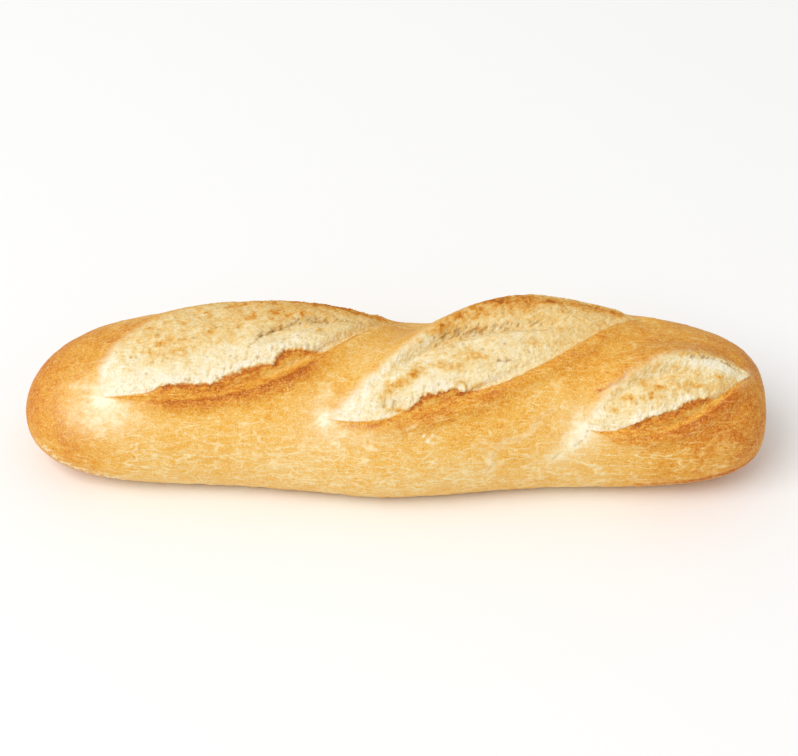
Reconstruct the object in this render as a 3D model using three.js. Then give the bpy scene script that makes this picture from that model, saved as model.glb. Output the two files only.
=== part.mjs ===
// A short baguette, about 250 mm long, as one closed solid.
//
// The loaf lies along X and rests on its flat baked base in the plane z = 0. +Z is up,
// -Y is the flank on which the three cuts start, and the origin is under the middle of the
// loaf. Every size is in millimetres.
//
// The crust is a surface over two numbers: the station x along the loaf, and the angle phi
// round it, which is 0 at the crown and grows towards the back (+Y). A plain body gives each
// section its radius, and the three baked-open cuts raise or lower that radius. A cut is
// drawn as a leaf on the unrolled flank, whose axes are x and the girth w = phi * GIRTH_RADIUS.

import * as THREE from 'three';

// ---- driving sizes of the plain body ----
const LENGTH = 250;
const HALF_WIDTH = 32.2;
const CROWN = 27.9; // axis to the top of the plain body
const BELLY = 26; // axis to where the underside would end if the base did not cut it flat
const AXIS_HEIGHT = 21.1; // base to axis
const GIRTH_RADIUS = 33; // turns an angle round the loaf into a length on the flank
const TOP_SQUARENESS = 2.1; // 2 is an ellipse, more is squarer
const LOW_SQUARENESS = 2.4;
const LEFT_END = { taper: 4.6, bluntness: 2.15 };
const RIGHT_END = { taper: 4.3, bluntness: 3.25 };
const MIDDLE_SLIMMING = 0.08; // how much less the section grows towards the middle

// the axis isn't straight: it bows to the back, its right end swings to the front, and its
// left tip hangs lower than the rest
const BOW = 3.5;
const LEFT_SWING = 0.2;
const RIGHT_SWING = -4.8;
const LEFT_DROP = -4.4;

// the crust bridge between the first two cuts bulges at the front and is pinched behind
const FRONT_SWELL = { height: 7, x: -0.2, reach: 40.5, phi: rad(-100), spread: rad(45) };
const BACK_WAIST = { height: -6.2, x: 8, reach: 25.6, phi: rad(42), spread: rad(40) };

// ---- driving sizes of the three cuts ----
// start and end are the tips of a cut as (x, w). near and far are how far its two borders
// bend away from the straight line between the tips, and their skews say how blunt the leaf
// is at each tip. swell lifts the whole flank. ear is the height of the torn flap behind, and
// foot says where its inner face starts, as shares of the cut's width in its first and its
// last half. tear is the depth of the torn line at that foot, and tearSpan its stretch of the
// cut's length. strip is the widest stretch of early-torn skin inside the near border.
const CUTS = [
  {
    start: [-95, -26.6], end: [4, 31.6],
    near: 25.4, nearSkew: [1.02, 1], far: 26.5, farSkew: [0.55, 1], swell: 0.7,
    ear: 2, earSkew: [1.6, 1.6], foot: [0.34, 0.34], tear: 1.2, tearSpan: [0.4, 0.8],
    strip: 7, stripSkew: [1, 0.7],
  },
  {
    start: [-21.6, -36], end: [83.1, 16.9],
    near: 15.3, nearSkew: [0.86, 0.97], far: 19.7, farSkew: [1.11, 0.51], swell: 2.3,
    ear: 7.4, earSkew: [2.3, 1.95], foot: [0.76, 0.34], tear: 1.5, tearSpan: [0.2, 0.8],
    strip: 5, stripSkew: [1.1, 1.6],
  },
  {
    start: [64.3, -39.4], end: [119, -7.5],
    near: 12.5, nearSkew: [0.92, 1.06], far: 12.8, farSkew: [0.51, 0.46], swell: 0.1,
    ear: 4.9, earSkew: [2.05, 1.8], foot: [0.78, 0.62], tear: 0.8, tearSpan: [0.35, 1],
    strip: 5, stripSkew: [1.2, 0.9],
  },
];

// ---- sizes that the cuts share ----
const TIP_FADE = 5; // the relief dies out over this length past a tip
const SWELL_MARGIN = 9; // the flank is lifted this far beyond a border
const FULL_WIDTH = 14; // a leaf narrower than this swells less
const DOME = 1.8; // the open crumb stands this far over the swollen flank
const RIM = { height: 1.5, offset: -2.2, spread: 3 }; // crust folded over at the near border
const TROUGH = { height: -1.2, offset: 2.4, spread: 2 }; // dip just inside it
const RAGGED = { height: 0.9, offset: -1, spread: 1.8 }; // torn edge of the strip
const FOOT_TURN = [0.4, 0.8]; // where along a cut the ear's foot moves from one share to the other
const EAR_BACK = 7; // the crust behind the ear falls away over this length
const TEAR_SPREAD = 2.2; // half width of the torn line
const TEAR_FADE = 0.12; // share of a cut over which the torn line starts and ends
const SOLID_RADIUS = 15; // the relief shrinks with the section where it is thinner

// ---- unevenness: lumps of a typical size, which stand so high over the mean surface ----
const CRUST_LUMPS = { height: 0.5, size: 34 };
const CRUMB_LUMPS = { height: 0.8, size: 9 };
const UNDERSIDE = rad(120); // the underside, beyond this angle, is smooth
const LUMP_FADE = rad(40);

// ---- mesh: rings along the loaf, closer at the ends, with points closer on the top ----
const RINGS = 110;
const POINTS = 46;
const END_CROWDING = 0.75; // 0 spaces the rings evenly, 1 crowds them fully at the ends
const TOP_CROWDING = 0.4; // the same for the points of a ring, towards the middle of the cuts
const CROWDED_PHI = rad(-12);
const CUT_SLOPE = 0.5; // the lines of points wind round the loaf along the cuts: girth per x
const EDGE_SEARCH = [rad(100), rad(178)]; // where the edge of the flat base lies on a section
const EDGE_STEPS = 24; // halvings of that range

function rad(degrees) {
  return THREE.MathUtils.degToRad(degrees);
}

function gauss(distance) {
  return Math.exp(-distance * distance);
}

function bump({ height, offset, spread }, distance) {
  return height * gauss((distance - offset) / spread);
}

/** Smooth step from 0 at `from` to 1 at `to`, whichever of the two is larger. */
function ease(from, to, value) {
  const t = THREE.MathUtils.clamp((value - from) / (to - from), 0, 1);
  return t * t * (3 - 2 * t);
}

/** 0 at both ends of t = 0..1 and 1 at its highest; the skews say how blunt each end is. */
function leaf(t, [startSkew, endSkew]) {
  const top = startSkew / (startSkew + endSkew);
  const height = top ** startSkew * (1 - top) ** endSkew;
  return (t ** startSkew * (1 - t) ** endSkew) / height;
}

/** A fixed random number from -1 to 1 for each corner (i, j) of a square lattice. */
function lattice(i, j) {
  const mixed = Math.sin(127.1 * i + 311.7 * j) * 43758.5453;
  return 2 * (mixed - Math.floor(mixed)) - 1;
}

/** Soft random lumps over the unrolled flank. */
function lumps({ height, size }, x, w) {
  const [i, j] = [Math.floor(x / size), Math.floor(w / size)];
  const [p, q] = [ease(0, 1, x / size - i), ease(0, 1, w / size - j)];
  const lower = THREE.MathUtils.lerp(lattice(i, j), lattice(i + 1, j), p);
  const upper = THREE.MathUtils.lerp(lattice(i, j + 1), lattice(i + 1, j + 1), p);
  return height * THREE.MathUtils.lerp(lower, upper, q);
}

/** How much of its full section the loaf has at u = -1..1 along it. */
function endRounding(u) {
  const { taper, bluntness } = u < 0 ? LEFT_END : RIGHT_END;
  return Math.max(1 - Math.abs(u) ** taper, 0) ** (1 / bluntness);
}

function flankBump({ height, x: centre, reach, phi: angle, spread }, x, phi) {
  return height * gauss((x - centre) / reach) * gauss((phi - angle) / spread);
}

/** Radius of the plain body, measured from the axis. */
function bodyRadius(x, phi) {
  const u = (2 * x) / LENGTH;
  const rounding = endRounding(u);
  const fullness = 1 - MIDDLE_SLIMMING * (0.5 - u * u);
  const across = Math.sin(phi);
  const upward = Math.cos(phi);
  const wide = HALF_WIDTH * rounding * fullness;
  const high = (upward > 0 ? CROWN * fullness : BELLY) * rounding;
  const n = upward > 0 ? TOP_SQUARENESS : LOW_SQUARENESS;
  const plain = (Math.abs(across / wide) ** n + Math.abs(upward / high) ** n) ** (-1 / n);
  return plain + flankBump(FRONT_SWELL, x, phi) + flankBump(BACK_WAIST, x, phi);
}

/** What one baked-open cut adds to the radius at the point (x, w) of the unrolled flank. */
function cutRelief(cut, x, w) {
  const [startX, startW] = cut.start;
  const [endX, endW] = cut.end;
  const length = Math.hypot(endX - startX, endW - startW);
  const cos = (endX - startX) / length;
  const sin = (endW - startW) / length;
  const along = ((x - startX) * cos + (w - startW) * sin) / length;
  const across = (w - startW) * cos - (x - startX) * sin;

  const t = THREE.MathUtils.clamp(along, 0, 1);
  const nearBorder = -cut.near * leaf(t, cut.nearSkew);
  const farBorder = cut.far * leaf(t, cut.farSkew);
  const width = Math.max(farBorder - nearBorder, 1e-3);
  const fromNear = across - nearBorder;
  const fromFar = farBorder - across;
  const pastTip = Math.max(-along, along - 1, 0) * length;
  const full = Math.sqrt(4 * t * (1 - t)) * Math.min(width / FULL_WIDTH, 1);

  // the flank swells over the cut and a little beyond it, and the crumb domes inside it
  const reach = (across - (nearBorder + farBorder) / 2) / (width / 2 + SWELL_MARGIN);
  let relief = cut.swell * full * Math.max(1 - reach * reach, 0) ** 1.5;
  if (fromNear > 0 && fromFar > 0) {
    const dome = DOME + lumps(CRUMB_LUMPS, x, w);
    relief += dome * full * Math.sin((Math.PI * fromNear) / width) ** 0.8;
  }

  // near border: a rounded fold of crust, a trough inside it and the strip's torn edge
  const midway = ease(0, 0.15, t) * ease(1, 0.8, t);
  const strip = cut.strip * leaf(t, cut.stripSkew);
  relief += midway * (bump(RIM, fromNear) + bump(TROUGH, fromNear) + bump(RAGGED, fromNear - strip));

  // far border: the ear, whose inner face rises from a torn line
  const ear = cut.ear * leaf(t, cut.earSkew);
  const foot = THREE.MathUtils.lerp(...cut.foot, ease(...FOOT_TURN, t));
  relief += ear * (fromFar >= 0 ? ease(foot, 1, fromNear / width) : gauss(fromFar / EAR_BACK));
  const [tearStart, tearEnd] = cut.tearSpan;
  const torn = ease(tearStart, tearStart + TEAR_FADE, t) * ease(tearEnd, tearEnd - TEAR_FADE, t);
  relief -= cut.tear * torn * gauss((fromNear - foot * width) / TEAR_SPREAD);
  return relief * gauss(pastTip / TIP_FADE);
}

/** The point of the crust at station x and angle phi, before the base cuts it flat. */
function roundPoint(x, phi) {
  const w = phi * GIRTH_RADIUS;
  let relief = lumps(CRUST_LUMPS, x, w) * ease(UNDERSIDE, UNDERSIDE - LUMP_FADE, Math.abs(phi));
  for (const cut of CUTS) {
    relief += cutRelief(cut, x, w);
  }
  const body = bodyRadius(x, phi);
  const radius = body + relief * Math.min(body / SOLID_RADIUS, 1);
  const [axisY, axisZ] = axisAt(x);
  return [x, axisY + radius * Math.sin(phi), axisZ + radius * Math.cos(phi)];
}

/** The edge of the flat base on the section at x, as an angle, or null where it has none. */
function baseEdge(x, side) {
  let [above, below] = EDGE_SEARCH;
  if (roundPoint(x, side * below)[2] >= 0) {
    return null;
  }
  for (let step = 0; step < EDGE_STEPS; step += 1) {
    const middle = (above + below) / 2;
    if (roundPoint(x, side * middle)[2] > 0) {
      above = middle;
    } else {
      below = middle;
    }
  }
  return side * below;
}

/** Where the loaf's axis runs at station x, as (y, z). */
function axisAt(x) {
  const u2 = ((2 * x) / LENGTH) ** 2;
  const swing = x < 0 ? LEFT_SWING : RIGHT_SWING;
  const drop = x < 0 ? LEFT_DROP : 0;
  return [BOW * (1 - u2) + swing * u2, AXIS_HEIGHT + drop * u2 * u2];
}

/** Station of ring i, from one end of the loaf to the other. */
function stationOf(i) {
  const k = (2 * i) / RINGS - 1;
  const u = (1 - END_CROWDING) * k + END_CROWDING * Math.sin((k * Math.PI) / 2);
  return (u * LENGTH) / 2;
}

/** Angle of point j on the ring at x, wound along the cuts and crowded on the top. */
function angleOf(j, x) {
  const winding = CUT_SLOPE / (GIRTH_RADIUS * 2 * Math.PI * (1 - TOP_CROWDING));
  const share = j / POINTS + winding * x;
  const turn = 2 * Math.PI * (share - Math.round(share));
  const phi = CROWDED_PHI + turn - TOP_CROWDING * Math.sin(turn);
  return Math.atan2(Math.sin(phi), Math.cos(phi));
}

/** The angles of the ring at x, with the points nearest the base's two edges moved onto them. */
function ringAngles(x) {
  const angles = Array.from({ length: POINTS }, (_, j) => angleOf(j, x));
  const edgePoints = [];
  for (const side of [-1, 1]) {
    const edge = baseEdge(x, side);
    if (edge !== null) {
      const gaps = angles.map((phi) => Math.abs(phi - edge));
      const nearest = gaps.indexOf(Math.min(...gaps));
      angles[nearest] = edge;
      edgePoints.push(nearest);
    }
  }
  return { angles, edgePoints };
}

function loafGeometry() {
  const positions = [];
  const triangles = [];
  const onBaseEdge = new Set();
  const pointAt = (index) => new THREE.Vector3().fromArray(positions, 3 * index);
  const onRing = (i, j) => 1 + (i - 1) * POINTS + (j % POINTS);

  positions.push(-LENGTH / 2, ...axisAt(-LENGTH / 2));
  for (let i = 1; i < RINGS; i += 1) {
    const x = stationOf(i);
    const { angles, edgePoints } = ringAngles(x);
    for (const phi of angles) {
      const [, y, z] = roundPoint(x, phi);
      positions.push(x, y, Math.max(z, 0));
    }
    edgePoints.forEach((j) => onBaseEdge.add(onRing(i, j)));
  }
  positions.push(LENGTH / 2, ...axisAt(LENGTH / 2));

  const lastPole = 1 + (RINGS - 1) * POINTS;
  for (let j = 0; j < POINTS; j += 1) {
    triangles.push(0, onRing(1, j), onRing(1, j + 1));
    triangles.push(lastPole, onRing(RINGS - 1, j + 1), onRing(RINGS - 1, j));
  }
  for (let i = 1; i < RINGS - 1; i += 1) {
    for (let j = 0; j < POINTS; j += 1) {
      const [a, b] = [onRing(i, j), onRing(i, j + 1)];
      const [c, d] = [onRing(i + 1, j + 1), onRing(i + 1, j)];
      // each patch is split along the base's edge, or else along its shorter diagonal
      const edgeAC = onBaseEdge.has(a) && onBaseEdge.has(c);
      const edgeBD = onBaseEdge.has(b) && onBaseEdge.has(d);
      const shorterAC = pointAt(a).distanceTo(pointAt(c)) < pointAt(b).distanceTo(pointAt(d));
      if (edgeAC || (shorterAC && !edgeBD)) {
        triangles.push(a, c, b, a, d, c);
      } else {
        triangles.push(a, d, b, b, d, c);
      }
    }
  }

  const geometry = new THREE.BufferGeometry();
  geometry.setAttribute('position', new THREE.Float32BufferAttribute(positions, 3));
  geometry.setIndex(triangles);
  geometry.computeVertexNormals();
  return geometry;
}

const crust = new THREE.MeshStandardMaterial({ color: 0xe9b465, roughness: 0.8, metalness: 0 });
const loaf = new THREE.Mesh(loafGeometry(), crust);
loaf.name = 'baguette_loaf';

const baguette = new THREE.Group();
baguette.add(loaf);

export default baguette;
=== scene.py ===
"""A short baguette with three baked-open cuts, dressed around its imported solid.

The loaf lies along X on its flat baked base, +Z is up and -Y is the flank on which the cuts
start. Sizes are in millimetres until a mesh is written, which turns them to metres.

The surface is worked out over two numbers: the station x along the loaf and the girth w round
it, which is 0 at the crown and grows towards the back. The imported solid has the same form, and
this script adds what is finer: torn crumb, pores, wrinkles, blisters and the colours of baking.
"""

import itertools
import logging
import math
from dataclasses import dataclass, field
from enum import Enum

import bpy
import numpy as np
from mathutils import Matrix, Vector

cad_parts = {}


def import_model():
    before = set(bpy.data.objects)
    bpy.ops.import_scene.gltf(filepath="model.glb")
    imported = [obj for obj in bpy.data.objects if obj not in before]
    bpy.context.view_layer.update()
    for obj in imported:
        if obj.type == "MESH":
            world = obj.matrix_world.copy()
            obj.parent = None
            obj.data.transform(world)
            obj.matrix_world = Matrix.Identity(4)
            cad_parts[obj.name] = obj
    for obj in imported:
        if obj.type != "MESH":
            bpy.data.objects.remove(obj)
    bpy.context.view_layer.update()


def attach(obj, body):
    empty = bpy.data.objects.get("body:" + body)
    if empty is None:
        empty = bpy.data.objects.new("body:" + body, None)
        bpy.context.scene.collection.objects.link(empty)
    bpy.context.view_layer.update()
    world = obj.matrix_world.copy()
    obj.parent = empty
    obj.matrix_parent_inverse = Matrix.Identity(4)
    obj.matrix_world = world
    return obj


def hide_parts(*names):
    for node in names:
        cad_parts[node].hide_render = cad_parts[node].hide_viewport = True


Array = np.ndarray
Pair = tuple[float, float]
Socket = bpy.types.NodeSocket

LOG = logging.getLogger("baguette")
BODY = "root"
NODE = "baguette_loaf"
MM = 0.001
GIRTH_RADIUS = 33.0  # turns an angle round the loaf into a length on the flank


# ---------------------------------------------------------------------------- small maths


def ease(start: float, end: float, value: Array) -> Array:
    """Smooth step between two values.

    Args:
        start: where the step is still 0.
        end: where it has reached 1, above or below start.
        value: the numbers to place on the step.

    Returns:
        The height of the step at each value, from 0 to 1.
    """
    t = np.clip((value - start) / (end - start), 0.0, 1.0)
    return t * t * (3.0 - 2.0 * t)


def bell(distance: Array) -> Array:
    """Bell curve, 1 at distance 0 and near 0 beyond 2."""
    return np.exp(-distance * distance)


def between(value: Array, start: float, end: float, fade: float) -> Array:
    """Soft window, 1 between start and end and 0 outside."""
    return ease(start, start + fade, value) * ease(end, end - fade, value)


def blend(low: Array, high: Array, share: Array) -> Array:
    """Straight mix of two values by a share from 0 to 1."""
    return low + (high - low) * share


def profile(stops: tuple[Pair, ...], t: Array) -> Array:
    """Straight lines through a few stops, each a place and the value there."""
    return np.interp(t, *zip(*stops))


def drawn(places: Array, along: float, across: float = 1.0) -> Array:
    """Squeeze places, so that noise taken there comes out longer by these factors."""
    return places / np.array([along, across])


def linear(colour: str) -> tuple[float, float, float, float]:
    """Turn an sRGB hex colour into linear light.

    Args:
        colour: six hex digits, with or without a leading #.

    Returns:
        Red, green, blue and alpha, linear and from 0 to 1.
    """
    digits = colour.lstrip("#")
    parts = [int(digits[i : i + 2], 16) / 255.0 for i in (0, 2, 4)]
    red, green, blue = (p / 12.92 if p <= 0.04045 else ((p + 0.055) / 1.055) ** 2.4 for p in parts)
    return red, green, blue, 1.0


class SpaceNoise:
    """Seeded random fields in space, the same on every run."""

    SEED_FACTOR = 2654435761
    AXIS_FACTORS = (374761393, 668265263, 2246822519)  # odd and large, so that cells scatter
    MIX_FACTOR = 1274126177
    AXIS_BITS = 10  # bits of a random number that each axis draws on
    AXIS_MOST = 1023  # the largest number of that many bits
    TAG_MOST = 65535
    OCTAVE_SHIFT = 17.3  # moves each finer grain off the corners of the coarser one
    GAIN = 1.5  # brings the noise to about -0.7 to 0.7
    FAR = 9.0  # further than any seed lies from a place, in cells

    def __init__(self, seed: int) -> None:
        """Keep the seed as a wrapped whole number."""
        self.seed = np.uint32(seed * self.SEED_FACTOR % 2**32)

    def scramble(self, cell: Array) -> Array:
        """Give each lattice cell its own random whole number.

        Args:
            cell: whole-number lattice places, one row each, two or three columns.

        Returns:
            One 32-bit number for each row.
        """
        mixed = np.full(len(cell), self.seed, np.uint32)
        for column, factor in zip(cell.T, self.AXIS_FACTORS):
            mixed = mixed + column * np.uint32(factor)
            mixed = (mixed ^ (mixed >> np.uint32(13))) * np.uint32(self.MIX_FACTOR)
        return mixed ^ (mixed >> np.uint32(16))

    def draw(self, random: Array, axis: int) -> Array:
        """The part of a cell's random number that belongs to one axis."""
        return (random >> np.uint32(self.AXIS_BITS * axis)) & np.uint32(self.AXIS_MOST)

    def smooth(self, points: Array, size: float) -> Array:
        """Soft noise of one grain size.

        Args:
            points: places in millimetres, one row each, two or three columns.
            size: width of a lump in millimetres.

        Returns:
            One value for each place, mostly from -0.7 to 0.7.
        """
        scaled = points / size
        floor = np.floor(scaled)
        cell = floor.astype(np.int64).astype(np.uint32)
        inside = scaled - floor
        fade = inside**3 * (inside * (inside * 6.0 - 15.0) + 10.0)
        total = np.zeros(len(points))
        for corner in itertools.product((0, 1), repeat=points.shape[1]):
            step = np.array(corner, np.uint32)
            random = self.scramble(cell + step)
            weight = np.ones(len(points))
            slope = np.zeros(len(points))
            for axis, bit in enumerate(corner):
                weight *= fade[:, axis] if bit else 1.0 - fade[:, axis]
                gradient = self.draw(random, axis) / (self.AXIS_MOST / 2.0) - 1.0
                slope += gradient * (inside[:, axis] - bit)
            total += weight * slope
        return total * self.GAIN

    def fractal(self, points: Array, size: float, octaves: int = 3) -> Array:
        """Noise with finer lumps on coarser ones.

        Args:
            points: places in millimetres.
            size: width of the coarsest lumps in millimetres.
            octaves: how many sizes, each half of the one before.

        Returns:
            One value for each place, mostly from -0.7 to 0.7.
        """
        total = np.zeros(len(points))
        weight = 1.0
        for octave in range(octaves):
            shifted = points + self.OCTAVE_SHIFT * octave
            total += weight * self.smooth(shifted, size / 2**octave)
            weight *= 0.5
        return total / (2.0 - 2.0 * weight) * self.GAIN

    def cells(self, points: Array, size: float) -> tuple[Array, Array]:
        """Distance to the nearest of some scattered seeds, for pores and blisters.

        Args:
            points: places in millimetres.
            size: mean distance between seeds in millimetres.

        Returns:
            Distance to the nearest seed as a share of size, and that seed's own random
            number from 0 to 1.
        """
        scaled = points / size
        floor = np.floor(scaled)
        cell = floor.astype(np.int64)
        inside = scaled - floor
        nearest = np.full(len(points), self.FAR)
        tag = np.zeros(len(points))
        for step in itertools.product((-1, 0, 1), repeat=points.shape[1]):
            random = self.scramble((cell + np.array(step)).astype(np.uint32))
            square = np.zeros(len(points))
            for axis, offset in enumerate(step):
                jitter = self.draw(random, axis) / float(self.AXIS_MOST)
                square += (offset + jitter - inside[:, axis]) ** 2
            distance = np.sqrt(square)
            closer = distance < nearest
            own = (random & np.uint32(self.TAG_MOST)) / float(self.TAG_MOST)
            tag = np.where(closer, own, tag)
            nearest = np.where(closer, distance, nearest)
        return nearest, tag


# ------------------------------------------------------------------- form shared with the solid


def leaf(t: Array, skews: Pair) -> Array:
    """Outline of one side of a cut.

    Args:
        t: share of the way from the first tip to the last, from 0 to 1.
        skews: how blunt the leaf is at the first and at the last tip; less is blunter.

    Returns:
        0 at both tips and 1 where the leaf is widest.
    """
    first, last = skews
    top = first / (first + last)
    return t**first * (1.0 - t) ** last / (top**first * (1.0 - top) ** last)


def lattice(i: Array, j: Array) -> Array:
    """A fixed random number from -1 to 1 for each corner of a square lattice."""
    mixed = np.sin(127.1 * i + 311.7 * j) * 43758.5453
    return 2.0 * (mixed - np.floor(mixed)) - 1.0


def lumps(height: float, size: float, x: Array, w: Array) -> Array:
    """Soft lumps over the unrolled flank, the same ones that the solid has.

    Args:
        height: how far the highest lumps stand out.
        size: width of a lump.
        x: stations along the loaf.
        w: girths round it.

    Returns:
        The height of the lumps at each place.
    """
    i, j = np.floor(x / size), np.floor(w / size)
    p, q = ease(0.0, 1.0, x / size - i), ease(0.0, 1.0, w / size - j)
    lower = blend(lattice(i, j), lattice(i + 1, j), p)
    upper = blend(lattice(i, j + 1), lattice(i + 1, j + 1), p)
    return height * blend(lower, upper, q)


@dataclass(frozen=True)
class CutPlace:
    """Where points of the flank lie, seen from one cut."""

    t: Array  # share of the way from tip to tip, kept from 0 to 1
    along: Array  # the same way in millimetres
    from_near: Array  # millimetres into the cut from its near border
    from_far: Array  # and from its far border
    width: Array  # of the cut there, in millimetres
    past_tip: Array  # millimetres beyond either tip, 0 between them

    @property
    def v(self) -> Array:
        """Share of the cut's width, 0 at the near border and 1 at the far one."""
        return self.from_near / self.width

    @property
    def inside(self) -> Array:
        """Whether a point lies between the two borders."""
        return (self.from_near > 0.0) & (self.from_far > 0.0)


@dataclass(frozen=True)
class Cut:
    """One baked-open cut, drawn as a leaf on the unrolled flank."""

    name: str
    start: Pair  # first tip, as station and girth
    end: Pair
    near: float  # how far the near border bends away from the line between the tips
    near_skew: Pair
    far: float  # and the far border, to the other side
    far_skew: Pair
    swell: float  # lift of the whole flank
    ear: float  # height of the torn flap behind
    ear_skew: Pair
    foot: Pair  # where the ear's inner face starts, as shares of the width
    tear: float  # depth of the torn line at that foot
    tear_span: Pair
    strip: float  # widest stretch of early-torn skin inside the near border
    strip_skew: Pair

    TIP_FADE = 5.0
    SWELL_MARGIN = 9.0
    FULL_WIDTH = 14.0
    DOME = 1.8  # how far the crumb bulges
    CRUMB_LUMPS = (0.8, 9.0)  # their height and width
    LIP = (1.5, -2.2, 3.0)  # height, place inside the near border, and spread
    GROOVE = (-1.2, 2.4, 2.0)
    SKIN_RIDGE = (0.9, -1.0, 1.8)  # the same, with its place told from the strip's edge
    EAR_BACK = 7.0
    TEAR_SPREAD = 2.2
    TEAR_FADE = 0.12
    COVER_MARGIN = 5.0  # the crumb piece reaches this far beyond the borders

    @property
    def length(self) -> float:
        """Distance between the two tips."""
        return math.dist(self.start, self.end)

    def turn(self, x: Array, w: Array) -> tuple[Array, Array]:
        """Turn station and girth into millimetres along and across the cut.

        Args:
            x: stations along the loaf.
            w: girths round it.

        Returns:
            How far along the line between the tips each point lies, and how far across it.
        """
        cos = (self.end[0] - self.start[0]) / self.length
        sin = (self.end[1] - self.start[1]) / self.length
        dx, dw = x - self.start[0], w - self.start[1]
        return dx * cos + dw * sin, dw * cos - dx * sin

    def unturn(self, along: Array, across: Array) -> tuple[Array, Array]:
        """Turn millimetres along and across the cut into station and girth.

        Args:
            along: how far along the line between the tips.
            across: how far across it, towards the far border.

        Returns:
            The stations and the girths.
        """
        cos = (self.end[0] - self.start[0]) / self.length
        sin = (self.end[1] - self.start[1]) / self.length
        return (
            self.start[0] + along * cos - across * sin,
            self.start[1] + along * sin + across * cos,
        )

    def place(self, x: Array, w: Array) -> CutPlace:
        """Find where points of the flank lie in this cut.

        Args:
            x: stations along the loaf.
            w: girths round it.

        Returns:
            The places, seen from the cut.
        """
        along, across = self.turn(x, w)
        t = np.clip(along / self.length, 0.0, 1.0)
        near = -self.near * leaf(t, self.near_skew)
        far = self.far * leaf(t, self.far_skew)
        past = np.maximum(np.maximum(-along, along - self.length), 0.0)
        width = np.maximum(far - near, 1e-3)
        return CutPlace(t, along, across - near, far - across, width, past)

    def outline(self, t: Array, margin: float) -> tuple[Array, Array]:
        """Borders of the leaf, made larger by a margin.

        Args:
            t: share of the way along the larger leaf.
            margin: how much larger it is, in millimetres.

        Returns:
            How far the near and the far border lie from the line between the tips.
        """
        near = -(self.near + margin) * leaf(t, self.near_skew)
        return near, (self.far + margin) * leaf(t, self.far_skew)

    def inset(self, x: Array, w: Array) -> Array:
        """Find how far points lie inside the outline of this cut's crumb piece.

        Args:
            x: stations along the loaf.
            w: girths round it.

        Returns:
            The distance in millimetres, negative outside the piece.
        """
        margin = self.COVER_MARGIN
        span = self.length + 2.0 * margin
        along, across = self.turn(x, w)
        share = (along + margin) / span
        t = np.clip(share, 1e-4, 1.0 - 1e-4)
        near, far = self.outline(t, margin)
        distances = []
        for border, gap, skew in (
            (near, across - near, self.near_skew),
            (far, far - across, self.far_skew),
        ):
            slope = border * (skew[0] / t - skew[1] / (1.0 - t)) / span
            distances.append(gap / np.sqrt(1.0 + slope * slope))
        within = np.minimum(*distances)
        beyond = np.minimum(share, 1.0 - share) * span
        return np.minimum(within, beyond)

    def relief(self, x: Array, w: Array) -> Array:
        """What the cut adds to the loaf's radius.

        Args:
            x: stations along the loaf.
            w: girths round it.

        Returns:
            The added height in millimetres.
        """
        place = self.place(x, w)
        t, width, v = place.t, place.width, place.v
        full = np.sqrt(4.0 * t * (1.0 - t)) * np.minimum(width / self.FULL_WIDTH, 1.0)
        middle = (place.from_near - place.from_far) / 2.0
        reach = middle / (width / 2.0 + self.SWELL_MARGIN)
        relief = self.swell * full * np.maximum(1.0 - reach * reach, 0.0) ** 1.5
        dome = self.DOME + lumps(*self.CRUMB_LUMPS, x, w)
        arch = np.sin(np.pi * np.clip(v, 0.0, 1.0)) ** 0.8
        relief += np.where(place.inside, dome * full * arch, 0.0)

        midway = ease(0.0, 0.15, t) * ease(1.0, 0.8, t)
        edge = self.strip * leaf(t, self.strip_skew)
        for base, fold in ((0.0, self.LIP), (0.0, self.GROOVE), (edge, self.SKIN_RIDGE)):
            height, offset, spread = fold
            relief += midway * height * bell((place.from_near - base - offset) / spread)

        foot = self.foot_at(t)
        ear = self.ear * leaf(t, self.ear_skew)
        behind = bell(np.minimum(place.from_far, 0.0) / self.EAR_BACK)
        rise = np.clip((v - foot) / (1.0 - foot), 0.0, 1.0)
        relief += ear * np.where(place.from_far >= 0.0, rise * rise * (3.0 - 2.0 * rise), behind)
        torn = self.torn(t) * bell((place.from_near - foot * width) / self.TEAR_SPREAD)
        return (relief - self.tear * torn) * bell(place.past_tip / self.TIP_FADE)

    def foot_at(self, t: Array) -> Array:
        """Where the ear's inner face starts, as a share of the width."""
        return blend(self.foot[0], self.foot[1], ease(0.4, 0.8, t))

    def torn(self, t: Array) -> Array:
        """How strong the torn line is at t, from 0 to 1."""
        return between(t, *self.tear_span, self.TEAR_FADE)


@dataclass(frozen=True)
class FlankBump:
    """A wide swelling or pinch of the loaf's body."""

    height: float
    x: float
    reach: float
    degrees: float
    spread: float

    def at(self, x: Array, phi: Array) -> Array:
        """Height of the bump at stations x and angles phi."""
        round_the_loaf = (phi - math.radians(self.degrees)) / math.radians(self.spread)
        return self.height * bell((x - self.x) / self.reach) * bell(round_the_loaf)


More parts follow.
